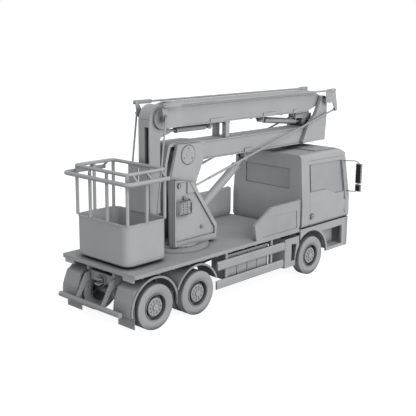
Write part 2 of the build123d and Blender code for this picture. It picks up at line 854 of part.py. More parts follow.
# Front bumper with the panel above it, pockets for the headlamps and two towing sockets
lamp_depth = 56.0
headlamp_y = 930.0
headlamp_z = 890.0
headlamp_width = 300.0
headlamp_height = 150.0
headlamp_corner = 40.0
headlamp_thickness = 38.0
bumper_top = 1016.0
bumper_bottom = 494.0
bumper_nose = 6842.0
socket_radius = 25.0
socket_depth = 110.0
socket_y = 452.0
socket_z = 640.0
with BuildPart() as bumper:
    with BuildSketch(side_view()):
        outline(
            (
                (bumper_rear + seat_gap, bumper_bottom),
                (bumper_nose, bumper_bottom),
                (cab_nose, bumper_top),
                (cab_nose, cab_floor),
                (bumper_rear + seat_gap, cab_floor),
            )
        )
    extrude(amount=body_half_width, both=True)
    with BuildSketch(plan_view(bumper_bottom)) as nose:
        with Locations((fore((bumper_rear + bumper_nose) / 2), 0)):
            Rectangle(bumper_nose - bumper_rear + 2, 2 * body_half_width)
        fillet(nose.vertices().group_by(Axis.X)[-1], radius=110)
    extrude(amount=cab_floor - bumper_bottom, mode=Mode.INTERSECT)
    with BuildSketch(side_view()):
        outline(
            (
                (bumper_rear - 10, bumper_bottom - 10),
                (bumper_nose - 90, bumper_bottom - 10),
                (bumper_nose - 90, cab_floor + 10),
                (bumper_rear - 10, cab_floor + 10),
            )
        )
    extrude(amount=body_half_width - 60, both=True, mode=Mode.SUBTRACT)
    for across in (-socket_y, socket_y):
        with BuildSketch(rear_view(fore(bumper_nose) - 13 - socket_depth)):
            with Locations((across, socket_z)):
                Circle(socket_radius + 16)
        extrude(amount=socket_depth)
        with BuildSketch(rear_view(fore(bumper_nose) - 13 - socket_depth)):
            with Locations((across, socket_z)):
                Circle(socket_radius)
        extrude(amount=socket_depth + 40, mode=Mode.SUBTRACT)
    with BuildSketch(rear_view(fore(bumper_nose) - 60)):
        with Locations((0, 760)):
            Rectangle(1100, 150)
    extrude(amount=100, mode=Mode.SUBTRACT)
    with BuildSketch(rear_view(fore(bumper_nose) - lamp_depth)):
        with Locations((-headlamp_y, headlamp_z), (headlamp_y, headlamp_z)):
            RectangleRounded(
                headlamp_width + 2 * seat_gap, headlamp_height + 2 * seat_gap, headlamp_corner
            )
    extrude(amount=lamp_depth, mode=Mode.SUBTRACT)
bumper.part.label = "bumper"
export_step(bumper.part, "parts/bumper.step")

# Grille: a frame with level slats and a closed back
slat_count = 6
slat_height = 26.0
with BuildPart() as grille:
    frame_x = fore(cab_windscreen_foot) - 50
    with BuildSketch(rear_view(frame_x)):
        with Locations((0, grille_z)):
            Rectangle(grille_width - 2 * seat_gap, grille_height - 2 * seat_gap)
            Rectangle(grille_width - 60, grille_height - 60, mode=Mode.SUBTRACT)
    extrude(amount=58)
    with BuildSketch(rear_view(frame_x)):
        with Locations((0, grille_z)):
            Rectangle(grille_width - 50, grille_height - 50)
    extrude(amount=12)
    with BuildSketch(rear_view(frame_x + 12)):
        with Locations((0, grille_z)):
            with GridLocations(1, (grille_height - 60) / slat_count, 1, slat_count):
                Rectangle(grille_width - 50, slat_height)
    extrude(amount=40)
grille.part.label = "grille"
export_step(grille.part, "parts/grille.step")

# Lamps: headlamps in the bumper's pockets, and tail clusters under the deck's rear edge
tail_lamp_y = 1000.0
tail_lamp_setback = 40.0
tail_lamp_length = 60.0
tail_lamp_width = 320.0
tail_lamp_height = 92.0
with BuildPart() as lamps:
    with BuildSketch(rear_view(fore(bumper_nose) - lamp_depth + seat_gap)):
        with Locations((-headlamp_y, headlamp_z), (headlamp_y, headlamp_z)):
            RectangleRounded(headlamp_width, headlamp_height, headlamp_corner)
    extrude(amount=headlamp_thickness)
    tail_z = deck_top - deck_thickness - tail_lamp_height / 2
    tail_x = fore(deck_rear) + tail_lamp_setback
    with Locations((tail_x, -tail_lamp_y, tail_z), (tail_x, tail_lamp_y, tail_z)):
        Box(tail_lamp_length, tail_lamp_width, tail_lamp_height)
lamps.part.label = "lamps"
export_step(lamps.part, "parts/lamps.step")

# Mirrors: two heads on a bent tube at each side
mirror_tube = 15.0
mirror_path = (
    (6545, -1131.5, 2920),
    (6545, -1230, 2922),
    (6680, -1410, 2925),
    (6815, -1450, 2860),
    (6815, -1450, 2062),
    (6690, -1390, 2065),
    (6660, -1290, 2065),
    (6660, -1193.8, 2065),
)
with BuildPart() as mirrors:
    with BuildLine() as route:
        FilletPolyline(*[(fore(x), y, z) for x, y, z in mirror_path], radius=34)
    with BuildSketch(Plane(origin=route.line @ 0, z_dir=route.line % 0)):
        Circle(mirror_tube)
    sweep(path=route.line)
    with Locations((fore(6828), -1450, 2555)):
        Box(76, 180, 550)
    with Locations((fore(6828), -1450, 2150)):
        Box(70, 176, 190)
    fillet(mirrors.edges().filter_by(GeomType.LINE).filter_by(Axis.Z), radius=20)
    mirror(about=Plane.XZ)
mirrors.part.label = "mirrors"
export_step(mirrors.part, "parts/mirrors.step")

# Dashboard with the steering column and wheel
dash_end_gap = 45.0
with BuildPart() as dashboard:
    with BuildSketch(side_view()):
        outline(
            (
                (6330, 1900),
                (6330, 2010),
                (6420, 2065),
                (6740, 2065),
                (6740, 1830),
                (6640, 1830),
                (6640, 1700),
                (6430, 1700),
            )
        )
    extrude(amount=body_half_width - cab_wall - dash_end_gap, both=True)
    add(cab_body(cab_wall + seat_gap), mode=Mode.INTERSECT)
    with BuildSketch(along(fore(6400), 1960, fore(6180), 2090, y=600)):
        Circle(28)
    extrude(amount=hypot(220, 130))
    with BuildSketch(along(fore(6180), 2090, fore(6150), 2108, y=600)):
        Circle(215)
        Circle(185, mode=Mode.SUBTRACT)
        Rectangle(390, 34)
        Circle(60)
    extrude(amount=30)
dashboard.part.label = "dashboard"
export_step(dashboard.part, "parts/dashboard.step")

# Seats: cushions, backs and boxes for the driver and the mate
room_floor = cab_floor + cab_wall
with BuildPart() as seats:
    with BuildSketch(side_view(600 + 260)):
        outline(((5080, room_floor), (5560, room_floor), (5560, 1700), (5080, 1700)))
        outline(((5020, 1690), (5640, 1690), (5660, 1800), (5190, 1830), (5060, 2560), (4930, 2530)))
    extrude(amount=520)
    fillet(seats.edges().filter_by(Axis.Y).group_by(Axis.Z)[-1], radius=30)
    mirror(about=Plane.XZ)
seats.part.label = "seats"
export_step(seats.part, "parts/seats.step")

# Rear mudguards: rolled sheets over each wheel that meet between the axles, and rubber flaps
guard_radius = 700.0
guard_sheet = 14.0
guard_lip = 48.0
guard_inner_y = 605.0
guard_outer_y = 1195.0
guard_rear_z = 430.0
flap_x = -1252.0
flap_bottom = 140.0
with BuildPart() as mudguards:
    # Columns: axle, the guard's rear end, its front end, and how low it reaches
    guards = (
        (-bogie_spread / 2, -bogie_spread / 2 - guard_radius - 5, 0.0, guard_rear_z),
        (bogie_spread / 2, 0.0, bogie_spread / 2 + guard_radius + 5, 745.0),
    )
    for middle, rear_end, front_end, low in guards:
        for inner_radius, start_y, end_y in (
            (guard_radius - guard_sheet, guard_inner_y, guard_outer_y),
            (guard_radius - guard_lip, guard_outer_y - 34, guard_outer_y),
        ):
            with BuildSketch(side_view(-start_y)):
                with Locations((fore(middle), tyre_radius)):
                    Circle(guard_radius)
                    Circle(inner_radius, mode=Mode.SUBTRACT)
                with Locations((fore((rear_end + front_end) / 2), low + 500)):
                    Rectangle(front_end - rear_end, 1000, mode=Mode.INTERSECT)
            extrude(amount=end_y - start_y)
        stay_z = tyre_radius + guard_radius - guard_sheet - 14
        with BuildSketch(side_view(-(rail_y + deck_sill_width / 2))):
            with Locations((fore(middle), stay_z)):
                Circle(16)
        extrude(amount=620)
    flap_top = tyre_radius + ((guard_radius - 4) ** 2 - (flap_x + bogie_spread / 2) ** 2) ** 0.5
    with Locations((fore(flap_x), -(guard_inner_y + 25 + guard_outer_y - 34) / 2, (flap_top + flap_bottom) / 2)):
        Box(10, guard_outer_y - 34 - guard_inner_y - 25, flap_top - flap_bottom)
    mirror(about=Plane.XZ)
mudguards.part.label = "mudguards"
export_step(mudguards.part, "parts/mudguards.step")

# Under-run bar: a round tube on two swept brackets from the rail ends
bar_x = -1548.0
bar_z = 515.0
bar_radius = 60.0
bar_half_length = 1035.0
bracket_thickness = 40.0
with BuildPart() as underrun_bar:
    with BuildSketch(side_view(-rail_y + bracket_thickness / 2)) as bracket:
        outline(
            (
                (rail_rear, rail_z + 90),
                (-1290, rail_z + 40),
                (-1430, 820),
                (bar_x - 30, bar_z + 30),
                (bar_x + 30, bar_z - 50),
                (-1440, 610),
                (-1290, 860),
                (rail_rear, rail_z - 110),
            )
        )
    extrude(amount=bracket_thickness)
    mirror(about=Plane.XZ)
    with BuildSketch(side_view()):
        with Locations((fore(bar_x), bar_z)):
            Circle(bar_radius)
    extrude(amount=bar_half_length, both=True)
underrun_bar.part.label = "underrun_bar"
export_step(underrun_bar.part, "parts/underrun_bar.step")

# Tow coupling: a jaw with an upright pin bore on the rear cross plate
tow_bore_radius = 20.5
tow_bore_x = -1265.0
tow_z = 985.0
with BuildPart() as tow_coupling:
    with Locations((fore(rail_rear) - 10, 0, tow_z)):
        Box(20, 250, 170)
    with BuildSketch(rear_view(fore(rail_rear) - 20)):
        with Locations((0, tow_z)):
            Circle(52)
    extrude(amount=-60)
    with BuildSketch(side_view(75)):
        outline(
            (
                (rail_rear - 60, tow_z - 62),
                (tow_bore_x - 60, tow_z - 82),
                (tow_bore_x - 60, tow_z + 82),
                (rail_rear - 60, tow_z + 62),
            )
        )
    extrude(amount=150)
    with BuildSketch(side_view(80)):
        outline(
            (
                (tow_bore_x + 42, tow_z - 34),
                (tow_bore_x - 70, tow_z - 48),
                (tow_bore_x - 70, tow_z + 48),
                (tow_bore_x + 42, tow_z + 34),
            )
        )
    extrude(amount=160, mode=Mode.SUBTRACT)
    with Locations((fore(tow_bore_x), 0, tow_z)):
        Cylinder(tow_bore_radius, 200, mode=Mode.SUBTRACT)
tow_coupling.part.label = "tow_coupling"
export_step(tow_coupling.part, "parts/tow_coupling.step")

# Side guards: an upper bevelled board and a lower one at each side, on posts
guard_face_y = 1250.0
guard_board = 46.0
# Columns: rear end, front end, bottom, top
guard_boards = ((1280, 3830, 912, 1128), (1255, 3790, 462, 668))
guard_posts = (1640.0, 3340.0)
with BuildPart() as side_guards:
    for rear_end, front_end, low, high in guard_boards:
        with BuildSketch(rear_view(fore(rear_end))):
            Polygon(
                (-guard_face_y, low + 24),
                (-guard_face_y, high - 46),
                (-guard_face_y + guard_board * 0.6, high),
                (-guard_face_y + guard_board, high),
                (-guard_face_y + guard_board, low),
                (-guard_face_y + guard_board * 0.4, low),
                align=None,
            )
        extrude(amount=front_end - rear_end)
    post_top = deck_top - deck_thickness
    post_y = guard_face_y - guard_board - 22
    with Locations(*[(fore(x), -post_y, (post_top + 480) / 2) for x in guard_posts]):
        Box(70, 44, post_top - 480)
    mirror(about=Plane.XZ)
side_guards.part.label = "side_guards"
export_step(side_guards.part, "parts/side_guards.step")

# Lockers behind the side guards, with ribbed fronts, and the box behind each front wheel
locker_rear = 1720.0
locker_front = 3250.0
locker_bottom = 560.0
locker_top = 1200.0
locker_outer_y = post_y - 22 - running_gap
locker_depth = 520.0
locker_panels = 4
step_box_rear = 3850.0
step_box_front = 4450.0
with BuildPart() as side_boxes:
    with BuildSketch(side_view(-locker_outer_y + locker_depth)):
        outline(
            (
                (locker_rear, locker_bottom),
                (locker_front, locker_bottom),
                (locker_front, locker_top),
                (locker_rear, locker_top),
            )
        )
    extrude(amount=locker_depth)
    panel_pitch = (locker_front - locker_rear) / locker_panels
    with BuildSketch(side_view(-locker_outer_y)):
        with Locations((fore((locker_front + locker_rear) / 2), (locker_top + locker_bottom) / 2)):
            with GridLocations(panel_pitch, 1, locker_panels, 1):
                Rectangle(panel_pitch - 60, locker_top - locker_bottom - 80)
    extrude(amount=-14, mode=Mode.SUBTRACT)
    hanger_top = deck_top - deck_thickness - locker_top
    hanger_x = (fore(locker_rear + 260), fore(locker_front - 260))
    hanger_y = -locker_outer_y + locker_depth - 40
    with Locations(*[(x, hanger_y, locker_top + hanger_top / 2) for x in hanger_x]):
        Box(70, 60, hanger_top)
    with BuildSketch(side_view(-700)):
        outline(
            (
                (step_box_rear, 410),
                (step_box_front, 410),
                (step_box_front, 1180),
                (step_box_rear, 1180),
            )
        )
        with Locations((fore(wheelbase), arch_z)):
            Circle(arch_radius, mode=Mode.SUBTRACT)
    extrude(amount=540)
    with BuildSketch(side_view(-1240)):
        outline(((4130, 560), (4265, 560), (4340, 985), (4130, 1010)))
    extrude(amount=-190, mode=Mode.SUBTRACT)
    with Locations((fore(4000), -760, 1180 + (deck_top - deck_thickness - 1180) / 2)):
        Box(80, 80, deck_top - deck_thickness - 1180)
    mirror(about=Plane.XZ)
side_boxes.part.label = "side_boxes"
export_step(side_boxes.part, "parts/side_boxes.step")

# Turret: two side boxes on a round base, cheeks for the boom's pivot, and pockets for the tie rods
turret_bottom = deck_top + slew_ring_height + turn_gap
turret_rear = 590.0
turret_panel = (
    (turret_rear, turret_bottom),
    (turret_rear - 5, 3076),
    (1266, 2925),
    (1384, 2732),
    (1885, 2033),
    (2059, 1802),
    (2036, turret_bottom),
)
turret_recess = ((666, 2995), (1093, 2984), (1990, 1728), (1992, 1575), (662, 1575))
turret_cheek = (
    (turret_rear, 2600),
    (600, 3100),
    (810, 3850),
    (1665, 3820),
    (1680, 3430),
    (1440, 2940),
    (1384, 2732),
    (1400, 2600),
)
tie_pocket = ((1050, 2705), (1180, 2700), (1500, 2790), (2000, 2910), (2000, 3300), (1050, 3300))
pocket_margin = 37.0
base_radius = 600.0
turret_web_x = 1270.0
lift_clevis_inner = 86.0
lift_pin_radius = 34.0
# Columns: place along the truck, height, radius of each boss on the recessed panel
panel_bosses = ((786, 2901, 50), (949, 2602, 40), (1550, 1809, 40))
with BuildPart() as turret_frame:
    with BuildSketch(side_view(-turret_inner_y)):
        outline(turret_panel)
    extrude(amount=turret_outer_y - turret_inner_y)
    with BuildSketch(side_view(-turret_outer_y)):
        outline(turret_recess)
    extrude(amount=-turret_recess_depth, mode=Mode.SUBTRACT)
    for x, z, radius in panel_bosses:
        with BuildSketch(side_view(-turret_outer_y + turret_recess_depth)):
            with Locations((fore(x), z)):
                Circle(radius)
                Circle(radius - 14, mode=Mode.SUBTRACT)
        extrude(amount=turret_recess_depth - 2)
    with BuildSketch(side_view(-turret_inner_y)):
        outline(turret_cheek)
    extrude(amount=cheek_outer_y - turret_inner_y)
    with BuildSketch(side_view(-tie_rod_y + pocket_margin)):
        outline(tie_pocket)
    extrude(amount=2 * pocket_margin, mode=Mode.SUBTRACT)
    with BuildSketch(side_view(-tie_rod_y + pocket_margin)):
        with Locations((fore(tie_foot_x), tie_foot_z)):
            Circle(level_pin_radius)
    extrude(amount=2 * pocket_margin)
    for radius, height in ((pivot_disc_radius, 10.0), (70.0, pivot_disc_height)):
        with BuildSketch(side_view(-cheek_outer_y)):
            with Locations((fore(lower_pivot_x), lower_pivot_z)):
                Circle(radius)
        extrude(amount=height)
    with BuildSketch(side_view(-lift_clevis_inner)):
        with Locations((fore(lift_foot_x), lift_foot_z)):
            Circle(70)
        outline(
            (
                (lift_foot_x - 150, turret_bottom),
                (lift_foot_x - 68, lift_foot_z + 20),
                (lift_foot_x + 68, lift_foot_z + 20),
                (lift_foot_x + 130, turret_bottom),
            )
        )
    extrude(amount=clevis_plate)
    mirror(about=Plane.XZ)
    with BuildSketch(plan_view(turret_bottom)):
        with Locations((fore(slew_x), 0)):
            Circle(base_radius)
        with Locations((fore((turret_rear + 2036) / 2), 0)):
            Rectangle(2036 - turret_rear, 2 * turret_inner_y)
    extrude(amount=turret_plate_thickness)
    with BuildSketch(rear_view(fore(turret_web_x))):
        with Locations((0, (turret_bottom + 2560) / 2)):
            Rectangle(2 * turret_inner_y, 2560 - turret_bottom)
    extrude(amount=30)
    with BuildSketch(side_view()):
        with Locations((fore(lower_pivot_x), lower_pivot_z)):
            Circle(boom_pin_radius)
    extrude(amount=turret_inner_y, both=True)
    with BuildSketch(side_view()):
        with Locations((fore(lift_foot_x), lift_foot_z)):
            Circle(lift_pin_radius)
    extrude(amount=lift_clevis_inner, both=True)
turret_frame.part.label = "turret_frame"
export_step(turret_frame.part, "parts/turret_frame.step")

# Control box on the turret's right side, with two columns of buttons and a lever
control_x = 905.0
control_z = 2380.0
control_length = 380.0
control_height = 300.0
control_depth = 110.0
button_radius = 14.0
control_face_y = turret_outer_y - turret_recess_depth + control_depth
with BuildPart() as control_box:
    with BuildSketch(side_view(-turret_outer_y + turret_recess_depth)):
        with Locations((fore(control_x), control_z)):
            RectangleRounded(control_length, control_height, 18)
    extrude(amount=control_depth)
    with BuildSketch(side_view(-turret_outer_y + turret_recess_depth)):
        with Locations((fore(control_x), control_z)):
            with GridLocations(control_length + 34, 1, 2, 1):
                Rectangle(34, control_height + 50)
    extrude(amount=34)
    with BuildSketch(side_view(-control_face_y)):
        with Locations((fore(control_x) - 70, control_z)):
            with GridLocations(80, 62, 2, 4):
                Circle(button_radius)
    extrude(amount=9)
    with BuildSketch(side_view(-control_face_y)):
        with Locations((fore(control_x) + 110, control_z)):
            Circle(12)
    extrude(amount=70)
    with Locations((fore(control_x) + 110, -control_face_y - 76, control_z)):
        Sphere(19)
control_box.part.label = "control_box"
export_step(control_box.part, "parts/control_box.step")

# Lower boom: a flanged box with elbow cheeks, a tail hood, rest posts and cylinder lugs
hood_line = (
    (hood_rear + 3, 3150),
    (505, 3420),
    (625, hood_top),
    (1570, hood_top),
    (1850, lower_boom_top + 6),
)
hood_radii = [200.0, 130.0, 60.0]
hood_flange = 72.0
cheek_outline = (
    (5653, 3436),
    (5891, 3893),
    (6206, 4150),
    (6436, 4560),
    (6684, 4560),
    (6726, 4375),
    (6729, 4010),
    (6686, 3409),
    (5755, 3413),
)
boom_end = 6300.0
lift_lug_inner = 68.0
rest_top = upper_boom_bottom - running_gap
fold_lug_inner = 52.0
with BuildPart() as lower_boom:
    with BuildSketch(side_view()):
        outline(
            (
                (lower_pivot_x, lower_boom_bottom),
                (boom_end, lower_boom_bottom),
                (boom_end, lower_boom_top),
                (lower_pivot_x, lower_boom_top),
            )
        )
        with Locations((fore(lower_pivot_x), lower_pivot_z)):
            Circle(lower_pivot_z - lower_boom_bottom)
    extrude(amount=lower_boom_half_width - flange_overhang, both=True)
    for height in (lower_boom_bottom, lower_boom_top - flange_thickness):
        with BuildSketch(plan_view(height)):
            with Locations((fore((1800 + boom_end) / 2), 0)):
                Rectangle(boom_end - 1800, 2 * lower_boom_half_width)
        extrude(amount=flange_thickness)
    # Tail hood: a bent sheet with a deeper flange along each edge
    for depth, inner_y in ((hood_wall, 0.0), (hood_flange, hood_half_width - hood_wall)):
        for side in (-1, 1):
            with BuildSketch(side_view(side * inner_y)):
                with BuildLine():
                    FilletPolyline(*[(fore(x), z) for x, z in hood_line], radius=hood_radii)
                    offset(amount=depth, side=Side.RIGHT)
                make_face()
            extrude(amount=-side * (hood_half_width - inner_y))
    for side in (-1, 1):
        with BuildSketch(side_view(side * elbow_inner_y)):
            outline(cheek_outline)
            with Locations((fore(elbow_x), elbow_z)):
                Circle(130)
        extrude(amount=-side * (elbow_outer_y - elbow_inner_y))
    with BuildSketch(side_view()):
        with Locations((fore(lower_pivot_x), lower_pivot_z)):
            Circle(boom_pin_radius + pin_gap)
        with Locations((fore(elbow_x), elbow_z)):
            Circle(elbow_pin_radius + pin_gap)
    extrude(amount=elbow_outer_y + 10, both=True, mode=Mode.SUBTRACT)
    # Link plates inside the cheeks for the fold cylinder, and lugs for the lift cylinder
    for side in (-1, 1):
        with BuildSketch(side_view(side * fold_lug_inner)):
            with Locations((fore(fold_head_x), fold_head_z)):
                Circle(64)
            outline(
                (
                    (fold_head_x - 90, lower_boom_top - 10),
                    (fold_head_x - 60, fold_head_z),
                    (fold_head_x + 60, fold_head_z),
                    (fold_head_x + 90, lower_boom_top - 10),
                )
            )
        extrude(amount=-side * clevis_plate)
        with BuildSketch(side_view(side * lift_lug_inner)):
            with Locations((fore(lift_head_x), lift_head_z)):
                Circle(72)
            outline(
                (
                    (lift_head_x - 190, lower_boom_bottom + 10),
                    (lift_head_x - 72, lift_head_z),
                    (lift_head_x + 72, lift_head_z),
                    (lift_head_x + 240, lower_boom_bottom + 10),
                )
            )
        extrude(amount=-side * clevis_plate)
        # Rest posts, joined by a cross plate just under the upper boom
        with Locations((fore(rest_x), side * rest_y, (lower_boom_top + rest_top) / 2)):
            Box(rest_size, rest_size, rest_top - lower_boom_top)
    with Locations((fore(rest_x), 0, rest_top - 24)):
        Box(rest_size + 30, 2 * rest_y + rest_size, 48)
lower_boom.part.label = "lower_boom"
export_step(lower_boom.part, "parts/lower_boom.step")

# Tie rods: from the turret's pockets to the front cranks, with a sleeve and an eye at each end
tie_eye_radius = 48.0
sleeve_start = 700.0
sleeve_end = 1560.0
with BuildPart() as tie_rods:
    for side in (-1, 1):
        across = side * tie_rod_y
        reach = hypot(tie_head_x - tie_foot_x, tie_head_z - tie_foot_z)
        foot = (fore(tie_foot_x), tie_foot_z)
        head = (fore(tie_head_x), tie_head_z)
        with BuildSketch(along(*foot, *head, y=across)):
            Circle(tie_rod_radius)
        extrude(amount=reach)
        with BuildSketch(along(*foot, *head, y=across).offset(sleeve_start)):
            Circle(tie_sleeve_radius)
        extrude(amount=sleeve_end - sleeve_start)
        with BuildSketch(side_view(across)):
            with Locations(foot, head):
                Circle(tie_eye_radius)
        extrude(amount=tie_rod_radius, both=True)
        with BuildSketch(side_view(across)):
            with Locations(foot, head):
                Circle(level_pin_radius + pin_gap)
        extrude(amount=tie_rod_radius + 5, both=True, mode=Mode.SUBTRACT)
tie_rods.part.label = "tie_rods"
export_step(tie_rods.part, "parts/tie_rods.step")

# Upper boom: a box with a proud top band, ears round the third boom's pivot and cylinder lugs
top_band = 90.0
web_inset = 12.0
upper_boom_nose = (
    (upper_boom_rear, upper_boom_bottom),
    (5950, upper_boom_bottom),
    (6490, elbow_z - 110),
    (6540, elbow_z + 120),
    (6200, upper_boom_top),
    (upper_boom_rear, upper_boom_top),
)
jib_lug_inner = 48.0
with BuildPart() as upper_boom:
    with BuildSketch(side_view()):
        outline(upper_boom_nose)
        with Locations((fore(elbow_x), elbow_z)):
            Circle(125)
    extrude(amount=upper_boom_half_width - web_inset, both=True)
    with BuildSketch(side_view()):
        outline(
            (
                (upper_boom_rear, upper_boom_top - top_band),
                (6290, upper_boom_top - top_band),
                (6220, upper_boom_top - 3),
                (6200, upper_boom_top),
                (upper_boom_rear, upper_boom_top),
            )
        )
        outline(
            (
                (upper_boom_rear, upper_boom_bottom),
                (5940, upper_boom_bottom),
                (5960, upper_boom_bottom + flange_thickness),
                (upper_boom_rear, upper_boom_bottom + flange_thickness),
            )
        )
    extrude(amount=upper_boom_half_width, both=True)
    for side in (-1, 1):
        with BuildSketch(side_view(side * ear_inner_y)):
            outline(
                (
                    (third_pivot_x, third_pivot_z - ear_radius),
                    (upper_boom_rear + 200, upper_boom_bottom),
                    (upper_boom_rear + 200, upper_boom_top),
                    (upper_boom_rear, upper_boom_top),
                    (third_pivot_x, third_pivot_z + ear_radius),
                )
            )
            with Locations((fore(third_pivot_x), third_pivot_z)):
                Circle(ear_radius)
        extrude(amount=-side * (upper_boom_half_width - ear_inner_y))
        for lug_x, lug_z in ((jib_foot_x, jib_foot_z), (fold_foot_x, fold_foot_z)):
            with BuildSketch(side_view(side * jib_lug_inner)):
                with Locations((fore(lug_x), lug_z)):
                    Circle(62)
                outline(
                    (
                        (lug_x - 62, lug_z),
                        (lug_x + 62, lug_z),
                        (lug_x + 120, upper_boom_bottom + 5),
                        (lug_x - 180, upper_boom_bottom + 5),
                    )
                )
            extrude(amount=-side * clevis_plate)
            with BuildSketch(side_view(side * jib_lug_inner)):
                with Locations((fore(lug_x), lug_z)):
                    Circle(24)
            extrude(amount=side * jib_lug_inner)
        # Rear cranks on the third boom's pin, with pins for the levelling and drop rods
        with BuildSketch(side_view(side * rear_crank_y)):
            for x, z, radius in (
                (third_pivot_x, third_pivot_z, 80),
                (rear_level_pin_x, level_rod_z, 40),
                (drop_pin_x, drop_pin_z, 48),
            ):
                with Locations((fore(x), z)):
                    Circle(radius)
            make_hull()
        extrude(amount=side * rear_crank_thickness)
        with BuildSketch(side_view(side * rear_crank_y)):
            with Locations((fore(rear_level_pin_x), level_rod_z), (fore(drop_pin_x), drop_pin_z)):
                Circle(level_pin_radius)
        extrude(amount=-side * 80)
        # Front cranks on the elbow pin
        with BuildSketch(side_view(side * (level_rod_y - crank_thickness / 2))):
            outline(
                (
                    (6480, 4480),
                    (6500, 4790),
                    (6530, 4830),
                    (6880, 4830),
                    (6920, 4790),
                    (7045, 4290),
                    (7040, 4215),
                    (6975, 4205),
                    (6800, 4470),
                    (6640, 4445),
                )
            )
        extrude(amount=-side * crank_thickness)
        with BuildSketch(side_view(side * (level_rod_y - 36))):
            with Locations((fore(front_level_pin_x), level_rod_z)):
                Circle(level_pin_radius)
        extrude(amount=-side * 72)
    with BuildSketch(side_view()):
        with Locations((fore(third_pivot_x), third_pivot_z)):
            Circle(third_pin_radius)
    extrude(amount=rear_crank_y, both=True)
    with BuildSketch(side_view()):
        with Locations((fore(elbow_x), elbow_z)):
            Circle(elbow_pin_radius)
    extrude(amount=level_rod_y + crank_thickness / 2, both=True)
upper_boom.part.label = "upper_boom"
export_step(upper_boom.part, "parts/upper_boom.step")

# Levelling rods: a tube with a long fork at the rear and a short one at the front
fork_half_width = 24.0
rear_fork_length = 500.0
front_fork_length = 250.0
with BuildPart() as levelling_rods:
    for side in (-1, 1):
        across = side * level_rod_y
        with BuildSketch(rear_view(fore(rear_level_pin_x) + rear_fork_length - 20)):
            with Locations((across, level_rod_z)):
                Circle(level_rod_radius)
        span = front_level_pin_x - rear_level_pin_x - rear_fork_length - front_fork_length + 40
        extrude(amount=span)
        with BuildSketch(side_view(across)):
            for start, length in (
                (rear_level_pin_x - 45, rear_fork_length + 45),
                (front_level_pin_x - front_fork_length, front_fork_length + 40),
            ):
                with Locations((fore(start + length / 2), level_rod_z)):
                    RectangleRounded(length, 92, 30)
        extrude(amount=fork_half_width, both=True)
        with BuildSketch(side_view(across)):
            with Locations(
                (fore(rear_level_pin_x), level_rod_z), (fore(front_level_pin_x), level_rod_z)
            ):
                Circle(level_pin_radius + pin_gap)
        extrude(amount=fork_half_width + 5, both=True, mode=Mode.SUBTRACT)
        with BuildSketch(side_view(across)):
            with Locations((fore(6700), level_rod_z)):
                Rectangle(460, 120)
        extrude(amount=crank_thickness / 2 + seat_gap, both=True, mode=Mode.SUBTRACT)
levelling_rods.part.label = "levelling_rods"
export_step(levelling_rods.part, "parts/levelling_rods.step")

# Third boom: an upright box with a round crown, a slot down its rear face and a foot on the basket's pin
slot_near_y = -150.0
slot_far_y = -20.0
slot_depth = 185.0
slot_bottom = 2520.0
slot_top = 4280.0
jib_head_lug = 57.0
rod_slot_front = 135.0
rod_slot_radius = 230.0
with BuildPart() as third_boom:
    with BuildSketch(side_view()):
        outline(
            (
                (third_boom_rear, third_boom_foot),
                (third_boom_front, third_boom_foot),
                (third_boom_front, 4000),
                (third_pivot_x + 190, third_pivot_z - 200),
                (third_pivot_x, third_pivot_z),
                (third_boom_rear, third_pivot_z),
            )
        )
        with Locations((fore(third_pivot_x), third_pivot_z)):
            Circle(third_boom_crown)
    extrude(amount=third_boom_half_width, both=True)
    with BuildSketch(side_view()):
        with Locations((fore(basket_pivot_x), basket_pivot_z)):
            Circle(basket_lug_radius)
        outline(
            (
                (basket_pivot_x - 48, basket_pivot_z),
                (basket_pivot_x + 88, basket_pivot_z),
                (third_boom_front - 60, third_boom_foot + 10),
                (third_boom_rear, third_boom_foot + 10),
            )
        )
    extrude(amount=third_boom_half_width, both=True)
    with BuildSketch(rear_view(fore(third_boom_rear) - 40)):
        with Locations(((slot_near_y + slot_far_y) / 2, (slot_bottom + slot_top) / 2)):
            Rectangle(slot_far_y - slot_near_y, slot_top - slot_bottom)
    extrude(amount=slot_depth + 40, mode=Mode.SUBTRACT)
    for side in (-1, 1):
        with BuildSketch(side_view(side * jib_lug_inner)):
            with Locations((fore(jib_head_x), jib_head_z)):
                Circle(jib_head_lug)
            with Locations((fore(third_boom_front) - 40, 4130)):
                Rectangle(40, 320)
            make_hull()
        extrude(amount=-side * clevis_plate)
    # Slot between the lugs, which the jib cylinder's rod and eye swing through
    with BuildSketch(side_view()):
        with Locations((fore(third_pivot_x) + rod_slot_front + 300, third_pivot_z - 100)):
            Rectangle(600, 900)
        with Locations((fore(third_pivot_x), third_pivot_z)):
            Circle(rod_slot_radius, mode=Mode.SUBTRACT)
    extrude(amount=jib_lug_inner, both=True, mode=Mode.SUBTRACT)
    with BuildSketch(side_view()):
        with Locations((fore(third_pivot_x), third_pivot_z)):
            Circle(third_pin_radius + pin_gap)
        with Locations((fore(basket_pivot_x), basket_pivot_z)):
            Circle(basket_pin_radius + pin_gap)
    extrude(amount=third_boom_half_width + 10, both=True, mode=Mode.SUBTRACT)
third_boom.part.label = "third_boom"
export_step(third_boom.part, "parts/third_boom.step")

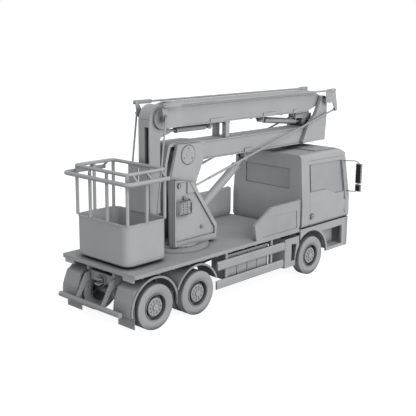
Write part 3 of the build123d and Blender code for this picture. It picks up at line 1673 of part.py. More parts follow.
# Drop rods: from the rear cranks down to the basket, beside the third boom
drop_eye_radius = 32.0
drop_x = basket_pivot_x + drop_pin_x - third_pivot_x
drop_z = basket_pivot_z + drop_pin_z - third_pivot_z
with BuildPart() as drop_rods:
    for side in (-1, 1):
        across = side * level_rod_y
        top_pin = (fore(drop_pin_x), drop_pin_z)
        low_pin = (fore(drop_x), drop_z)
        with BuildSketch(along(*top_pin, *low_pin, y=across)):
            Circle(drop_rod_radius)
        extrude(amount=hypot(drop_pin_x - drop_x, drop_pin_z - drop_z))
        with BuildSketch(side_view(across)):
            with Locations(top_pin, low_pin):
                Circle(drop_eye_radius)
        extrude(amount=drop_rod_radius, both=True)
        with BuildSketch(side_view(across)):
            with Locations(top_pin):
                Circle(level_pin_radius + pin_gap)
            with Locations(low_pin):
                Circle(level_pin_radius + running_gap)
        extrude(amount=drop_rod_radius + 5, both=True, mode=Mode.SUBTRACT)
drop_rods.part.label = "drop_rods"
export_step(drop_rods.part, "parts/drop_rods.step")

# Basket tub: an open box with large round corners, pivot ears and small lugs for the drop rods
basket_ear_y = 200.0
basket_ear_width = 40.0
tub_length = tub_front - tub_rear
tub_middle = fore((tub_front + tub_rear) / 2)
with BuildPart() as basket_tub:
    with BuildSketch(plan_view(tub_bottom)):
        with Locations((tub_middle, 0)):
            RectangleRounded(tub_length, 2 * tub_half_width, tub_corner_radius)
    extrude(amount=tub_rim - tub_bottom)
    fillet(basket_tub.faces().sort_by(Axis.Z)[0].edges(), radius=50)
    with BuildSketch(plan_view(tub_rim - 40)):
        with Locations((tub_middle, 0)):
            RectangleRounded(
                tub_length + 2 * tub_lip, 2 * (tub_half_width + tub_lip), tub_corner_radius + tub_lip
            )
    extrude(amount=40)
    with BuildSketch(plan_view(tub_bottom + tub_wall)):
        with Locations((tub_middle, 0)):
            RectangleRounded(
                tub_length - 2 * tub_wall, 2 * (tub_half_width - tub_wall), tub_corner_radius - tub_wall
            )
    extrude(amount=tub_rim, mode=Mode.SUBTRACT)
    for side in (-1, 1):
        with BuildSketch(side_view(side * basket_ear_y)):
            with Locations((fore(basket_pivot_x), basket_pivot_z)):
                Circle(76)
            outline(
                (
                    (tub_front - 10, basket_pivot_z - 230),
                    (basket_pivot_x + 40, basket_pivot_z - 62),
                    (basket_pivot_x + 20, basket_pivot_z + 72),
                    (tub_front - 10, basket_pivot_z + 100),
                )
            )
        extrude(amount=-side * basket_ear_width)
        for lug_y in (level_rod_y - drop_rod_radius - 18, level_rod_y + drop_rod_radius + 6):
            with BuildSketch(side_view(side * lug_y)):
                with Locations((fore(drop_x), drop_z)):
                    Circle(30)
                outline(
                    (
                        (tub_front - 10, drop_z - 110),
                        (drop_x + 28, drop_z - 10),
                        (drop_x - 10, drop_z + 12),
                        (tub_front - 10, drop_z + 12),
                    )
                )
            extrude(amount=-side * 12)
        with BuildSketch(side_view(side * (level_rod_y - drop_rod_radius - 18))):
            with Locations((fore(drop_x), drop_z)):
                Circle(level_pin_radius)
        extrude(amount=-side * (2 * drop_rod_radius + 36))
    with BuildSketch(side_view()):
        with Locations((fore(basket_pivot_x), basket_pivot_z)):
            Circle(basket_pin_radius)
    extrude(amount=basket_ear_y + basket_ear_width, both=True)
basket_tub.part.label = "basket_tub"
export_step(basket_tub.part, "parts/basket_tub.step")

# Basket rails: an inner loop on posts, an outer guard tube on struts, and the slotted front panel
# Columns: place along the truck and across of each post
rail_posts = (
    (inner_rail_rear, 800.0),
    (inner_rail_rear, 350.0),
    (inner_rail_rear, -220.0),
    (inner_rail_rear + 20, -858.0),
    (-620.0, -inner_rail_half_width),
    (-70.0, -inner_rail_half_width + 18),
    (-620.0, inner_rail_half_width),
    (-70.0, inner_rail_half_width - 18),
)
strut_places = (-1030.0, -620.0, -200.0)
front_panel_half_width = 330.0
panel_slot_width = 52.0
with BuildPart() as basket_rails:
    with BuildLine() as loop:
        FilletPolyline(
            (fore(inner_rail_rear), -inner_rail_half_width, inner_rail_z),
            (fore(inner_rail_front), -inner_rail_half_width, inner_rail_z),
            (fore(inner_rail_front), inner_rail_half_width, inner_rail_z),
            (fore(inner_rail_rear), inner_rail_half_width, inner_rail_z),
            radius=rail_corner_radius,
            close=True,
        )
    with BuildSketch(Plane(origin=loop.line @ 0, z_dir=loop.line % 0)):
        Circle(inner_rail_tube / 2)
    sweep(path=loop.line)
    with BuildLine() as guard:
        FilletPolyline(
            (fore(outer_rail_front), -outer_rail_half_width, outer_rail_z),
            (fore(outer_rail_rear), -outer_rail_half_width, outer_rail_z),
            (fore(outer_rail_rear), outer_rail_half_width, outer_rail_z),
            (fore(outer_rail_front), outer_rail_half_width, outer_rail_z),
            radius=rail_corner_radius,
        )
    with BuildSketch(Plane(origin=guard.line @ 0, z_dir=guard.line % 0)):
        Circle(outer_rail_tube / 2)
    sweep(path=guard.line)
    with BuildSketch(plan_view(tub_rim)):
        with Locations(*[(fore(x), y) for x, y in rail_posts]):
            Circle(post_tube / 2)
    extrude(amount=inner_rail_z - tub_rim)
    for side in (-1, 1):
        for x in strut_places:
            with BuildSketch(
                Plane(
                    origin=(fore(x), side * inner_rail_half_width, inner_rail_z),
                    x_dir=(1, 0, 0),
                    z_dir=(
                        0,
                        side * (outer_rail_half_width - inner_rail_half_width),
                        outer_rail_z - inner_rail_z,
                    ),
                )
            ):
                Circle(26)
            extrude(amount=hypot(outer_rail_half_width - inner_rail_half_width, inner_rail_z - outer_rail_z))
    with Locations((fore(inner_rail_front) + 6, 0, (tub_rim + inner_rail_z) / 2)):
        Box(36, 2 * front_panel_half_width, inner_rail_z - tub_rim)
    with Locations((fore(inner_rail_front) + 6, 0, 3160)):
        Box(80, panel_slot_width, 420, mode=Mode.SUBTRACT)
basket_rails.part.label = "basket_rails"
export_step(basket_rails.part, "parts/basket_rails.step")

# Hydraulic cylinders: a hollow barrel and a rod that slides in it.
# Columns: name, foot pin, head pin, barrel radius, rod radius, barrel length,
# half width of the foot eye, half width of the head eye, foot pin radius
cylinders = (
    (
        "lift",
        (lift_foot_x, lift_foot_z),
        (lift_head_x, lift_head_z),
        lift_barrel_radius,
        lift_rod_radius,
        lift_barrel_length,
        lift_clevis_inner - 4,
        lift_lug_inner - 5,
        lift_pin_radius,
    ),
    (
        "fold",
        (fold_foot_x, fold_foot_z),
        (fold_head_x, fold_head_z),
        fold_barrel_radius,
        fold_rod_radius,
        fold_barrel_length,
        jib_lug_inner - 4,
        fold_lug_inner - 8,
        24.0,
    ),
    (
        "jib",
        (jib_foot_x, jib_foot_z),
        (jib_head_x, jib_head_z),
        jib_barrel_radius,
        jib_rod_radius,
        jib_barrel_length,
        jib_lug_inner - 4,
        jib_lug_inner - 8,
        24.0,
    ),
)
barrel_start = 140.0
barrel_wall_end = 46.0
rod_tail = 30.0
for name, foot, head, barrel, rod, length, foot_eye, head_eye, foot_pin in cylinders:
    foot_place = (fore(foot[0]), foot[1])
    head_place = (fore(head[0]), head[1])
    reach = hypot(head[0] - foot[0], head[1] - foot[1])
    with BuildPart() as barrel_part:
        with BuildSketch(side_view()):
            with Locations(foot_place):
                Circle(foot_pin + 26)
        extrude(amount=foot_eye, both=True)
        with BuildSketch(along(*foot_place, *head_place)):
            Rectangle(2 * foot_eye * 0.8, 2 * (foot_pin + 18))
        extrude(amount=barrel_start + 10)
        with BuildSketch(along(*foot_place, *head_place).offset(barrel_start)):
            Circle(barrel)
        extrude(amount=length - barrel_start)
        with BuildSketch(along(*foot_place, *head_place).offset(length - 60)):
            Circle(barrel + 7)
        extrude(amount=60)
        with BuildSketch(along(*foot_place, *head_place).offset(barrel_start + barrel_wall_end)):
            Circle(rod + pin_gap)
        extrude(amount=length, mode=Mode.SUBTRACT)
        with BuildSketch(side_view()):
            with Locations(foot_place):
                Circle(foot_pin + pin_gap)
        extrude(amount=foot_eye + 5, both=True, mode=Mode.SUBTRACT)
    barrel_part.part.label = f"{name}_barrel"
    export_step(barrel_part.part, f"parts/{name}_barrel.step")

    with BuildPart() as rod_part:
        rod_start = barrel_start + barrel_wall_end + rod_tail
        with BuildSketch(along(*foot_place, *head_place).offset(rod_start)):
            Circle(rod)
        extrude(amount=reach - rod_start)
        with BuildSketch(side_view()):
            with Locations(head_place):
                Circle(eye_radius)
        extrude(amount=head_eye, both=True)
        with BuildSketch(side_view()):
            with Locations(head_place):
                Circle(eye_radius * 0.5)
        extrude(amount=eye_radius * 2, both=True, mode=Mode.SUBTRACT)
    rod_part.part.label = f"{name}_rod"
    export_step(rod_part.part, f"parts/{name}_rod.step")
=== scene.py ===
"""Looks for a truck-mounted aerial work platform, a three-axle truck in plain grey primer.

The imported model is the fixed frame. This script dresses every node of it, cuts pockets into copies
of a few nodes, fits the saddles, horns, liners, nuts, bolts and wipers that a maker adds by hand,
and sets the camera and the studio.
"""

import json
import logging
import math
from dataclasses import dataclass
from enum import Enum

import bmesh
import bpy
from mathutils import Matrix, Vector

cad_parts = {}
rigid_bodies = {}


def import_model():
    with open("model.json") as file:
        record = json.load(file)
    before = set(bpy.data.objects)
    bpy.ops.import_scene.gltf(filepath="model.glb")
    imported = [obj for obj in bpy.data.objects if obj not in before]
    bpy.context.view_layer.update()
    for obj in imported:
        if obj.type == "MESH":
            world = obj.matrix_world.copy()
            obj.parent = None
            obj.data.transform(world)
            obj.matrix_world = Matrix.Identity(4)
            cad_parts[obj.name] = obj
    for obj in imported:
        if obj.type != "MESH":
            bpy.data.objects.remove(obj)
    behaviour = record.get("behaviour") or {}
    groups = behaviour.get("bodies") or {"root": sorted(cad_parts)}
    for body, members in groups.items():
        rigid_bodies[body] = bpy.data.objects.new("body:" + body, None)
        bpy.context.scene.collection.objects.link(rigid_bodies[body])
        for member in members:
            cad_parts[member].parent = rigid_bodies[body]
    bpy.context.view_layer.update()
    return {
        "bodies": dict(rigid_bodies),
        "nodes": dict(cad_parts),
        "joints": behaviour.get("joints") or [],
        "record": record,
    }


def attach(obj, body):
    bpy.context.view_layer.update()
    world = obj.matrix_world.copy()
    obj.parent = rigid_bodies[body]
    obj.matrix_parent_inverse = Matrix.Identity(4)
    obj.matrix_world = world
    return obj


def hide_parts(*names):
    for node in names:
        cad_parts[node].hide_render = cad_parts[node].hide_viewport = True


LOG = logging.getLogger("aerial_platform")
MILLIMETRE = 0.001
WHITE = (1.0, 1.0, 1.0, 1.0)
# Middle part of a noise's range, over which the colour passes from the dark to the light.
PATCH_RANGE = (0.35, 0.65)
# How far the gloss strays to each side, and the share of the relief that shows.
GLOSS_SPREAD = 0.08
RELIEF_STRENGTH = 0.6
# A wave texture of scale 1 / (grain * WAVE_SCALE) has its bands about two grains apart.
WAVE_SCALE = 6.283

# The outlines are in millimetres, forward from the middle of the rear bogie and up from the ground.
BOGIE_X = -2720.0
# Height of the cab's shoulder, above which its side leans in, and millimetres in for each one up.
CAB_SHOULDER = 1960.0
CAB_LEAN_RATE = 95.0 / 1300.0
# Distance of the cab's side from the middle plane, and how far a pocket's tool stands proud of it.
CAB_SIDE = 1200.0
PROUD = 20.0
# Middle of the front wheel arch and of the rearmost mudguard.
ARCH = (5030.0, 470.0)
GUARD = (-665.0, 520.0)
# Distances from the middle plane: the deepened floor of the turret's panels, the outer end of the
# pocket's tool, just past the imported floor, and the outer face of the plates that stand in it.
TURRET_FLOOR = 445.0
TURRET_TOOL_FACE = 475.0
TURRET_PLATE_FACE = 476.0
# The boom's pivot on the turret.
BOOM_PIVOT = (1150.0, 3585.0)
# The elbow's pin in the lower boom.
ELBOW_PIN = (5972.0, 3945.0)


class Surface(Enum):
    """How a finish was made, which decides its fine relief."""

    SPRAYED = "sprayed"
    MOULDED = "moulded"
    CAST = "cast"
    WOVEN = "woven"
    GROUND = "ground"
    FLUTED = "fluted"
    POURED = "poured"


def linear(code: str) -> tuple[float, float, float, float]:
    """Turn an sRGB hex colour into linear values.

    Args:
        code: Six hex digits after a hash sign.

    Returns:
        Red, green, blue and an alpha of one, in linear light.
    """
    channels = []
    for start in (1, 3, 5):
        value = int(code[start:start + 2], 16) / 255.0
        channels.append(value / 12.92 if value <= 0.04045 else ((value + 0.055) / 1.055) ** 2.4)
    return (channels[0], channels[1], channels[2], 1.0)


def add_node(tree: bpy.types.NodeTree, kind: str, settings: dict | None = None,
             links: dict | None = None) -> bpy.types.Node:
    """Add one node to a tree.

    Args:
        tree: The tree that takes the node.
        kind: The node's Blender type name.
        settings: Attributes of the node, or values of its inputs where the key names an input.
        links: Output sockets to connect, by the name or number of this node's input.

    Returns:
        The new node.
    """
    node = tree.nodes.new(kind)
    for key, value in (settings or {}).items():
        if isinstance(key, str) and hasattr(node, key):
            setattr(node, key, value)
        else:
            node.inputs[key].default_value = value
    for key, socket in (links or {}).items():
        tree.links.new(socket, node.inputs[key])
    return node


@dataclass(frozen=True)
class PaintedShade:
    """Painted shade: how far a colour is darkened where surfaces stand close together, as shade
    falls there.

    Attributes:
        reach: How far away a surface counts, in metres.
        shade: Share of the colour that is left where the surface is closed in.
        closed: Openness, from 0 to 1, that counts as closed in.
        free: Openness that counts as free.
    """

    reach: float
    shade: float
    closed: float
    free: float


# Painted shade in deep hollows and in narrow seams.
HOLLOW_PAINTED_SHADE = PaintedShade(0.30, 0.06, 0.10, 0.88)
SEAM_PAINTED_SHADE = PaintedShade(0.045, 0.30, 0.10, 0.80)


@dataclass(frozen=True)
class Finish:
    """One real finish with its colours, gloss and relief, with painted shade darkening its colour in
    hollows and seams.

    Attributes:
        name: The material's name.
        light: Colour where the coat is clean, as sRGB hex.
        dark: Colour of the faint patches, as sRGB hex.
        surface: How the surface was made.
        roughness: Middle of the gloss range, from 0, mirror, to 1, matt.
        grain: Size of the fine relief in millimetres.
        depth: Height of the fine relief in millimetres.
        patch: Size of the colour patches in millimetres.
        metallic: Share of bare metal, from 0, painted, to 1.
        ior: Index of refraction.
    """

    name: str
    light: str
    dark: str
    surface: Surface
    roughness: float
    grain: float
    depth: float
    patch: float = 900.0
    metallic: float = 0.0
    ior: float = 1.5

    def material(self) -> bpy.types.Material:
        """Build the finish's material once, and return it."""
        known = bpy.data.materials.get(self.name)
        if known is not None and known.get("finished"):
            return known
        made = bpy.data.materials.new(self.name)
        made["finished"] = True
        made.use_nodes = True
        tree = made.node_tree
        tree.nodes.clear()
        shader = add_node(tree, "ShaderNodeBsdfPrincipled", {"Metallic": self.metallic})
        if self.metallic == 0.0:
            shader.inputs["IOR"].default_value = self.ior
        place = add_node(tree, "ShaderNodeTexCoord").outputs["Object"]
        patches = add_node(tree, "ShaderNodeTexNoise", {
            "Scale": 1.0 / (self.patch * MILLIMETRE), "Detail": 4.0, "Roughness": 0.55,
        }, {"Vector": place})
        spread = add_node(tree, "ShaderNodeMapRange", {
            "From Min": PATCH_RANGE[0], "From Max": PATCH_RANGE[1],
        }, {"Value": patches.outputs["Fac"]})
        colour = add_node(tree, "ShaderNodeMix", {"data_type": "RGBA"}, {
            0: spread.outputs["Result"],
        })
        colour.inputs[6].default_value = linear(self.dark)
        colour.inputs[7].default_value = linear(self.light)
        # Painted shade: the colour is darkened in hollows and seams.
        shade_painted_colour = self._paint_shade(tree, colour.outputs[2])
        tree.links.new(shade_painted_colour, shader.inputs["Base Color"])
        gloss = add_node(tree, "ShaderNodeMapRange", {
            "To Min": self.roughness - GLOSS_SPREAD,
            "To Max": min(self.roughness + GLOSS_SPREAD, 1.0),
        }, {"Value": patches.outputs["Fac"]})
        tree.links.new(gloss.outputs["Result"], shader.inputs["Roughness"])
        bump = add_node(tree, "ShaderNodeBump", {
            "Strength": RELIEF_STRENGTH, "Distance": self.depth * MILLIMETRE,
        }, {"Height": self._relief(tree, place)})
        tree.links.new(bump.outputs["Normal"], shader.inputs["Normal"])
        add_node(tree, "ShaderNodeOutputMaterial", None, {"Surface": shader.outputs["BSDF"]})
        return made

    def _paint_shade(self, tree: bpy.types.NodeTree,
                colour: bpy.types.NodeSocket) -> bpy.types.NodeSocket:
        """Paint shade into a colour: darken it in deep hollows and in narrow seams, where shade
        falls.

        Args:
            tree: The material's tree.
            colour: The colour of the open surface.

        Returns:
            The darkened colour's output socket.
        """
        # Each pass multiplies the colour by ambient occlusion: painted shade.
        for shade_layer in (HOLLOW_PAINTED_SHADE, SEAM_PAINTED_SHADE):
            near = add_node(tree, "ShaderNodeAmbientOcclusion", {
                "samples": 8, "Distance": shade_layer.reach,
            })
            depth = add_node(tree, "ShaderNodeMapRange", {
                "From Min": shade_layer.closed, "From Max": shade_layer.free,
                "To Min": shade_layer.shade, "To Max": 1.0,
            }, {"Value": near.outputs["AO"]})
            colour = add_node(tree, "ShaderNodeMix", {
                "data_type": "RGBA", "blend_type": "MULTIPLY", 0: 1.0,
            }, {6: colour, 7: depth.outputs["Result"]}).outputs[2]
        return colour

    def _relief(self, tree: bpy.types.NodeTree,
                place: bpy.types.NodeSocket) -> bpy.types.NodeSocket:
        """Add the pattern of the fine relief.

        Args:
            tree: The material's tree.
            place: The Object coordinates.

        Returns:
            The height's output socket.
        """
        scale = 1.0 / (self.grain * MILLIMETRE)
        if self.surface in (Surface.WOVEN, Surface.FLUTED):
            rows = add_node(tree, "ShaderNodeTexWave", {
                "wave_type": "BANDS", "bands_direction": "Y", "Scale": scale / WAVE_SCALE,
                "Distortion": 0.0,
            }, {"Vector": place})
            if self.surface is Surface.FLUTED:
                return rows.outputs["Fac"]
            columns = add_node(tree, "ShaderNodeTexWave", {
                "wave_type": "BANDS", "bands_direction": "Z", "Scale": scale / WAVE_SCALE,
                "Distortion": 0.6,
            }, {"Vector": place})
            return add_node(tree, "ShaderNodeMath", {"operation": "MAXIMUM"}, {
                0: rows.outputs["Fac"], 1: columns.outputs["Fac"],
            }).outputs[0]
        if self.surface is Surface.MOULDED:
            cells = add_node(tree, "ShaderNodeTexVoronoi", {"Scale": scale}, {"Vector": place})
            return cells.outputs["Distance"]
        detail = {
            Surface.SPRAYED: 2.0, Surface.CAST: 6.0, Surface.GROUND: 1.0, Surface.POURED: 0.0,
        }
        noise = add_node(tree, "ShaderNodeTexNoise", {
            "Scale": scale, "Detail": detail[self.surface],
        }, {"Vector": place})
        return noise.outputs["Fac"]


# Two-pack primer sprayed on sheet steel: even satin grey with a faint orange-peel relief. The real
# relief is about 2 mm across, drawn at 12 mm so that it shows.
CAB_PRIMER = Finish("cab_sheet_primer", "#A9AAAC", "#A3A4A6", Surface.SPRAYED, 0.62, 12.0, 0.10)
# The same primer on welded plate: a little coarser and flatter.
BOOM_PRIMER = Finish("boom_steel_primer", "#A9AAAC", "#A2A3A5", Surface.SPRAYED, 0.64, 14.0, 0.14)
# The same primer on walked-on plate: duller, a little darker and patchier.
DECK_PRIMER = Finish("deck_plate_primer", "#A4A5A7", "#9C9D9F", Surface.SPRAYED, 0.72, 10.0, 0.20)
# Brushed chassis primer over rolled rails: flatter and darker, with soft patches.
CHASSIS_PRIMER = Finish("chassis_rail_primer", "#9B9C9E", "#929395", Surface.SPRAYED, 0.74, 16.0,
                        0.25)
# The same primer on pressed wheel discs: even, with a fine skin.
WHEEL_PRIMER = Finish("pressed_wheel_primer", "#A3A4A6", "#9C9D9F", Surface.SPRAYED, 0.66, 10.0,
                      0.12)
# Sand-cast iron housings: a coarse skin under the same primer.
CAST_HOUSING = Finish("cast_iron_housing", "#8E8F91", "#858688", Surface.CAST, 0.82, 8.0, 0.50)
# Carbon-black-free grey tyre rubber: fully matt, with a fine moulded skin.
TYRE_RUBBER = Finish("grey_tyre_rubber", "#A2A3A5", "#9A9B9D", Surface.MOULDED, 0.90, 6.0, 0.12)
# Injection-moulded polypropylene: leather-like grain, low gloss.
GRAINED_PLASTIC = Finish("grained_polypropylene", "#9C9D9F", "#959698", Surface.MOULDED, 0.78, 5.0,
                         0.15)
# Glass-fibre basket shell: a rolled gel coat, smooth with slow ripples.
GEL_COAT = Finish("basket_gel_coat", "#A8A9AB", "#A2A3A5", Surface.POURED, 0.58, 60.0, 0.12)
# Blanked-off glazing, painted over with the body: smooth, with a faint sheen.
PRIMED_GLAZING = Finish("primed_glazing", "#9FA0A3", "#999A9D", Surface.POURED, 0.45, 90.0, 0.04)
# Fluted lamp lenses: upright ribs about 28 mm apart under a shiny skin, coarse so that they show.
LAMP_LENS = Finish("fluted_lamp_lens", "#A8A9AB", "#A2A3A5", Surface.FLUTED, 0.38, 14.0, 0.8,
                   ior=1.49)
# Ground and plated rods: bare metal with a soft long highlight.
GROUND_ROD = Finish("ground_steel_rod", "#A9AAAC", "#A0A1A3", Surface.GROUND, 0.50, 4.0, 0.02,
                    metallic=0.35)
# Zinc-plated link rods and bolts: dull, slightly mottled metal.
PLATED_LINK = Finish("zinc_plated_link", "#A6A7A9", "#9C9D9F", Surface.GROUND, 0.60, 9.0, 0.05,
                     metallic=0.15)
# Mirror glass, smooth and nearly black: a painted reflection of the dark side of the truck.
MIRROR_PAINTED_REFLECTION = Finish("mirror_glass_painted_reflection", "#242527", "#202123", Surface.POURED, 0.30, 90.0, 0.02)
# Woven polyester seat cloth: crossed threads, drawn about 12 mm apart so that they show.
SEAT_CLOTH = Finish("woven_seat_cloth", "#8C8D90", "#838487", Surface.WOVEN, 0.95, 6.0, 0.6)

DRESS = {
    CAB_PRIMER: ("cab_shell", "door_left", "door_right", "cab_wings"),
    BOOM_PRIMER: ("turret_frame", "lower_boom", "upper_boom", "third_boom", "lift_barrel",
                  "fold_barrel", "jib_barrel", "basket_rails"),
    DECK_PRIMER: ("deck", "side_boards", "side_boxes", "slew_ring", "side_guards"),
    CHASSIS_PRIMER: ("chassis_frame", "front_axle", "rear_axles", "leaf_springs", "knuckle_left",
                     "knuckle_right", "underrun_bar", "tow_coupling"),
    CAST_HOUSING: ("engine_block", "drive_shafts"),
    GRAINED_PLASTIC: ("bumper", "grille", "mirrors", "mudguards", "dashboard", "control_box"),
    GEL_COAT: ("basket_tub",),
    PRIMED_GLAZING: ("cab_panes", "door_pane_left", "door_pane_right"),
    LAMP_LENS: ("lamps",),
    GROUND_ROD: ("lift_rod", "fold_rod", "jib_rod"),
    PLATED_LINK: ("tie_rods", "levelling_rods", "drop_rods"),
    SEAT_CLOTH: ("seats",),
}


def mesh_object(name: str, mesh: bpy.types.Mesh, finish: Finish) -> bpy.types.Object:
    """Link a mesh into the scene with one finish.

    Args:
        name: The piece's name.
        mesh: Its mesh, already in place.
        finish: What it is made of.

    Returns:
        The new object.
    """
    mesh.name = name
    mesh.materials.clear()
    mesh.materials.append(finish.material())
    made = bpy.data.objects.new(name, mesh)
    bpy.context.scene.collection.objects.link(made)
    return made


# A stud's radius and length, as shares of its nut's radius and height.
STUD_RADIUS_SHARE = 0.5
STUD_LENGTH_SHARE = 1.5


@dataclass(frozen=True)
class BoltRing:
    """A ring of hexagon nuts on studs, made by geometry nodes.

    Attributes:
        ring_radius: Radius of the circle of nuts, in metres.
        count: How many nuts.
        nut_radius: Half the width over a nut's corners.
        nut_height: A nut's height.
        turn: Turn of the whole ring, in degrees.
    """

    ring_radius: float
    count: int
    nut_radius: float
    nut_height: float
    turn: float = 0.0

    def tree(self, finish: Finish) -> bpy.types.NodeTree:
        """Build the node tree for a ring, with its sizes as inputs.

        Args:
            finish: What the nuts are made of.

        Returns:
            The tree, or the one made before for the same finish.
        """
        name = "bolt_ring_" + finish.name
        if name in bpy.data.node_groups:
            return bpy.data.node_groups[name]
        tree = bpy.data.node_groups.new(name, "GeometryNodeTree")
        for label, kind in (("Nuts", "NodeSocketInt"), ("Ring Radius", "NodeSocketFloat"),
                            ("Nut Radius", "NodeSocketFloat"), ("Nut Height", "NodeSocketFloat")):
            tree.interface.new_socket(label, in_out="INPUT", socket_type=kind)
        tree.interface.new_socket("Geometry", in_out="OUTPUT", socket_type="NodeSocketGeometry")
        size = add_node(tree, "NodeGroupInput").outputs
        circle = add_node(tree, "GeometryNodeMeshCircle", None, {
            "Vertices": size["Nuts"], "Radius": size["Ring Radius"],
        })
        nut = add_node(tree, "GeometryNodeMeshCylinder", {"Vertices": 6}, {
            "Radius": size["Nut Radius"], "Depth": size["Nut Height"],
        })
        stud_radius = add_node(tree, "ShaderNodeMath", {
            "operation": "MULTIPLY", 1: STUD_RADIUS_SHARE,
        }, {0: size["Nut Radius"]})
        stud_depth = add_node(tree, "ShaderNodeMath", {
            "operation": "MULTIPLY", 1: STUD_LENGTH_SHARE,
        }, {0: size["Nut Height"]})
        stud = add_node(tree, "GeometryNodeMeshCylinder", {"Vertices": 12}, {
            "Radius": stud_radius.outputs[0], "Depth": stud_depth.outputs[0],
        })
        join = add_node(tree, "GeometryNodeJoinGeometry")
        tree.links.new(stud.outputs["Mesh"], join.inputs[0])
        tree.links.new(nut.outputs["Mesh"], join.inputs[0])
        spread = add_node(tree, "GeometryNodeInstanceOnPoints", None, {
            "Points": circle.outputs["Mesh"], "Instance": join.outputs[0],
        })
        real = add_node(tree, "GeometryNodeRealizeInstances", None, {0: spread.outputs[0]})
        coat = add_node(tree, "GeometryNodeSetMaterial", {"Material": finish.material()}, {
            "Geometry": real.outputs[0],
        })
        add_node(tree, "NodeGroupOutput", None, {0: coat.outputs[0]})
        return tree

    def build(self, centre: Vector, outward: Vector, finish: Finish) -> bpy.types.Mesh:
        """Make the ring's mesh in place.

        Args:
            centre: Middle of the nuts' seat, in the row frame.
            outward: Way that the studs point.
            finish: What the nuts are made of.

        Returns:
            A plain mesh.
        """
        holder = bpy.data.objects.new("ring_holder", bpy.data.meshes.new("ring_holder"))
        bpy.context.scene.collection.objects.link(holder)
        modifier = holder.modifiers.new("ring", "NODES")
        modifier.node_group = self.tree(finish)
        values = {"Nuts": self.count, "Ring Radius": self.ring_radius,
                  "Nut Radius": self.nut_radius, "Nut Height": self.nut_height}
        for item in modifier.node_group.interface.items_tree:
            if item.in_out == "INPUT":
                modifier[item.identifier] = values[item.name]
        graph = bpy.context.evaluated_depsgraph_get()
        mesh = bpy.data.meshes.new_from_object(holder.evaluated_get(graph))
        bpy.data.objects.remove(holder)
        upright = outward.to_track_quat("Z", "Y").to_matrix().to_4x4()
        lift = Matrix.Translation(centre + outward * (self.nut_height / 2))
        mesh.transform(lift @ upright @ Matrix.Rotation(math.radians(self.turn), 4, "Z"))
        return mesh


def joined(parts: list[bpy.types.Mesh]) -> bpy.types.Mesh:
    """Put several meshes into one.

    Args:
        parts: The meshes, which are used up.

    Returns:
        One mesh of them all.
    """
    shape = bmesh.new()
    for part in parts:
        shape.from_mesh(part)
    whole = bpy.data.meshes.new("joined")
    shape.to_mesh(whole)
    shape.free()
    return whole


def rod_mesh(start: Vector, end: Vector, radius: float, sides: int = 16) -> bpy.types.Mesh:
    """Make a closed round bar between two points.

    Args:
        start: One end, in the row frame.
        end: The other end.
        radius: Its radius in metres.
        sides: Facets round the bar.

    Returns:
        Its mesh.
    """
    shape = bmesh.new()
    bmesh.ops.create_cone(shape, cap_ends=True, segments=sides, radius1=radius, radius2=radius,
                          depth=(end - start).length)
    turn = (end - start).to_track_quat("Z", "Y").to_matrix().to_4x4()
    place = Matrix.Translation((start + end) / 2) @ turn
    bmesh.ops.transform(shape, matrix=place, verts=shape.verts)
    mesh = bpy.data.meshes.new("rod")
    shape.to_mesh(mesh)
    shape.free()
    return mesh


def cab_lean(height: float) -> float:
    """Return how far the cab's side leans in at a height, in millimetres."""
    return max(0.0, height - CAB_SHOULDER) * CAB_LEAN_RATE


@dataclass(frozen=True)
class Prism:
    """A solid with a flat outline seen from the truck's side, pushed across the truck.

    Attributes:
        outline: Its corners along the truck and up, in millimetres.
        near: Distance of its inner face from the middle plane.
        far: Distance of its outer face from the middle plane.
        leaning: Whether both faces lean in with the cab's side.
    """

    outline: tuple[tuple[float, float], ...]
    near: float
    far: float
    leaning: bool = False

    def mesh(self, sign: float) -> bpy.types.Mesh:
        """Make the solid on one side of the truck.

        Args:
            sign: 1 for the left side and -1 for the right.

        Returns:
            A closed mesh in the row frame.
        """
        shape = bmesh.new()
        rings = []
        for across in (self.near, self.far):
            ring = []
            for along, up in self.outline:
                lean = cab_lean(up) if self.leaning else 0.0
                place = Vector((along + BOGIE_X, sign * (across - lean), up))
                ring.append(shape.verts.new(place * MILLIMETRE))
            rings.append(ring)
        shape.faces.new(rings[0])
        shape.faces.new(rings[1])
        for index, corner in enumerate(rings[0]):
            after = (index + 1) % len(rings[0])
            shape.faces.new((corner, rings[0][after], rings[1][after], rings[1][index]))
        bmesh.ops.recalc_face_normals(shape, faces=shape.faces)
        mesh = bpy.data.meshes.new("prism")
        shape.to_mesh(mesh)
        shape.free()
        return mesh


def arc(centre: tuple[float, float], radius: float, start: float, end: float,
        steps: int) -> tuple[tuple[float, float], ...]:
    """Return points on an arc seen from the truck's side.

    Args:
        centre: Its centre in millimetres.
        radius: Its radius.
        start: Angle of the first point in degrees, from forward towards up.
        end: Angle of the last point.
        steps: Number of pieces.

    Returns:
        The points in order.
    """
    points = []
    for step in range(steps + 1):
        angle = math.radians(start + (end - start) * step / steps)
        points.append((centre[0] + radius * math.cos(angle), centre[1] + radius * math.sin(angle)))
    return tuple(points)


def disc(centre: tuple[float, float], radius: float,
         corners: int = 24) -> tuple[tuple[float, float], ...]:
    """Return the corners of a round disc seen from the truck's side."""
    return arc(centre, radius, 0.0, 360.0 - 360.0 / corners, corners - 1)


def rectangle(rear: float, front: float, low: float,
              high: float) -> tuple[tuple[float, float], ...]:
    """Return the corners of an upright rectangle seen from the truck's side."""
    return ((rear, low), (front, low), (front, high), (rear, high))


# Corners nearer than this are one corner, and edges bent by more than this stay sharp.
MERGE_DISTANCE = 0.01 * MILLIMETRE
SHARP_ANGLE = math.radians(32.0)


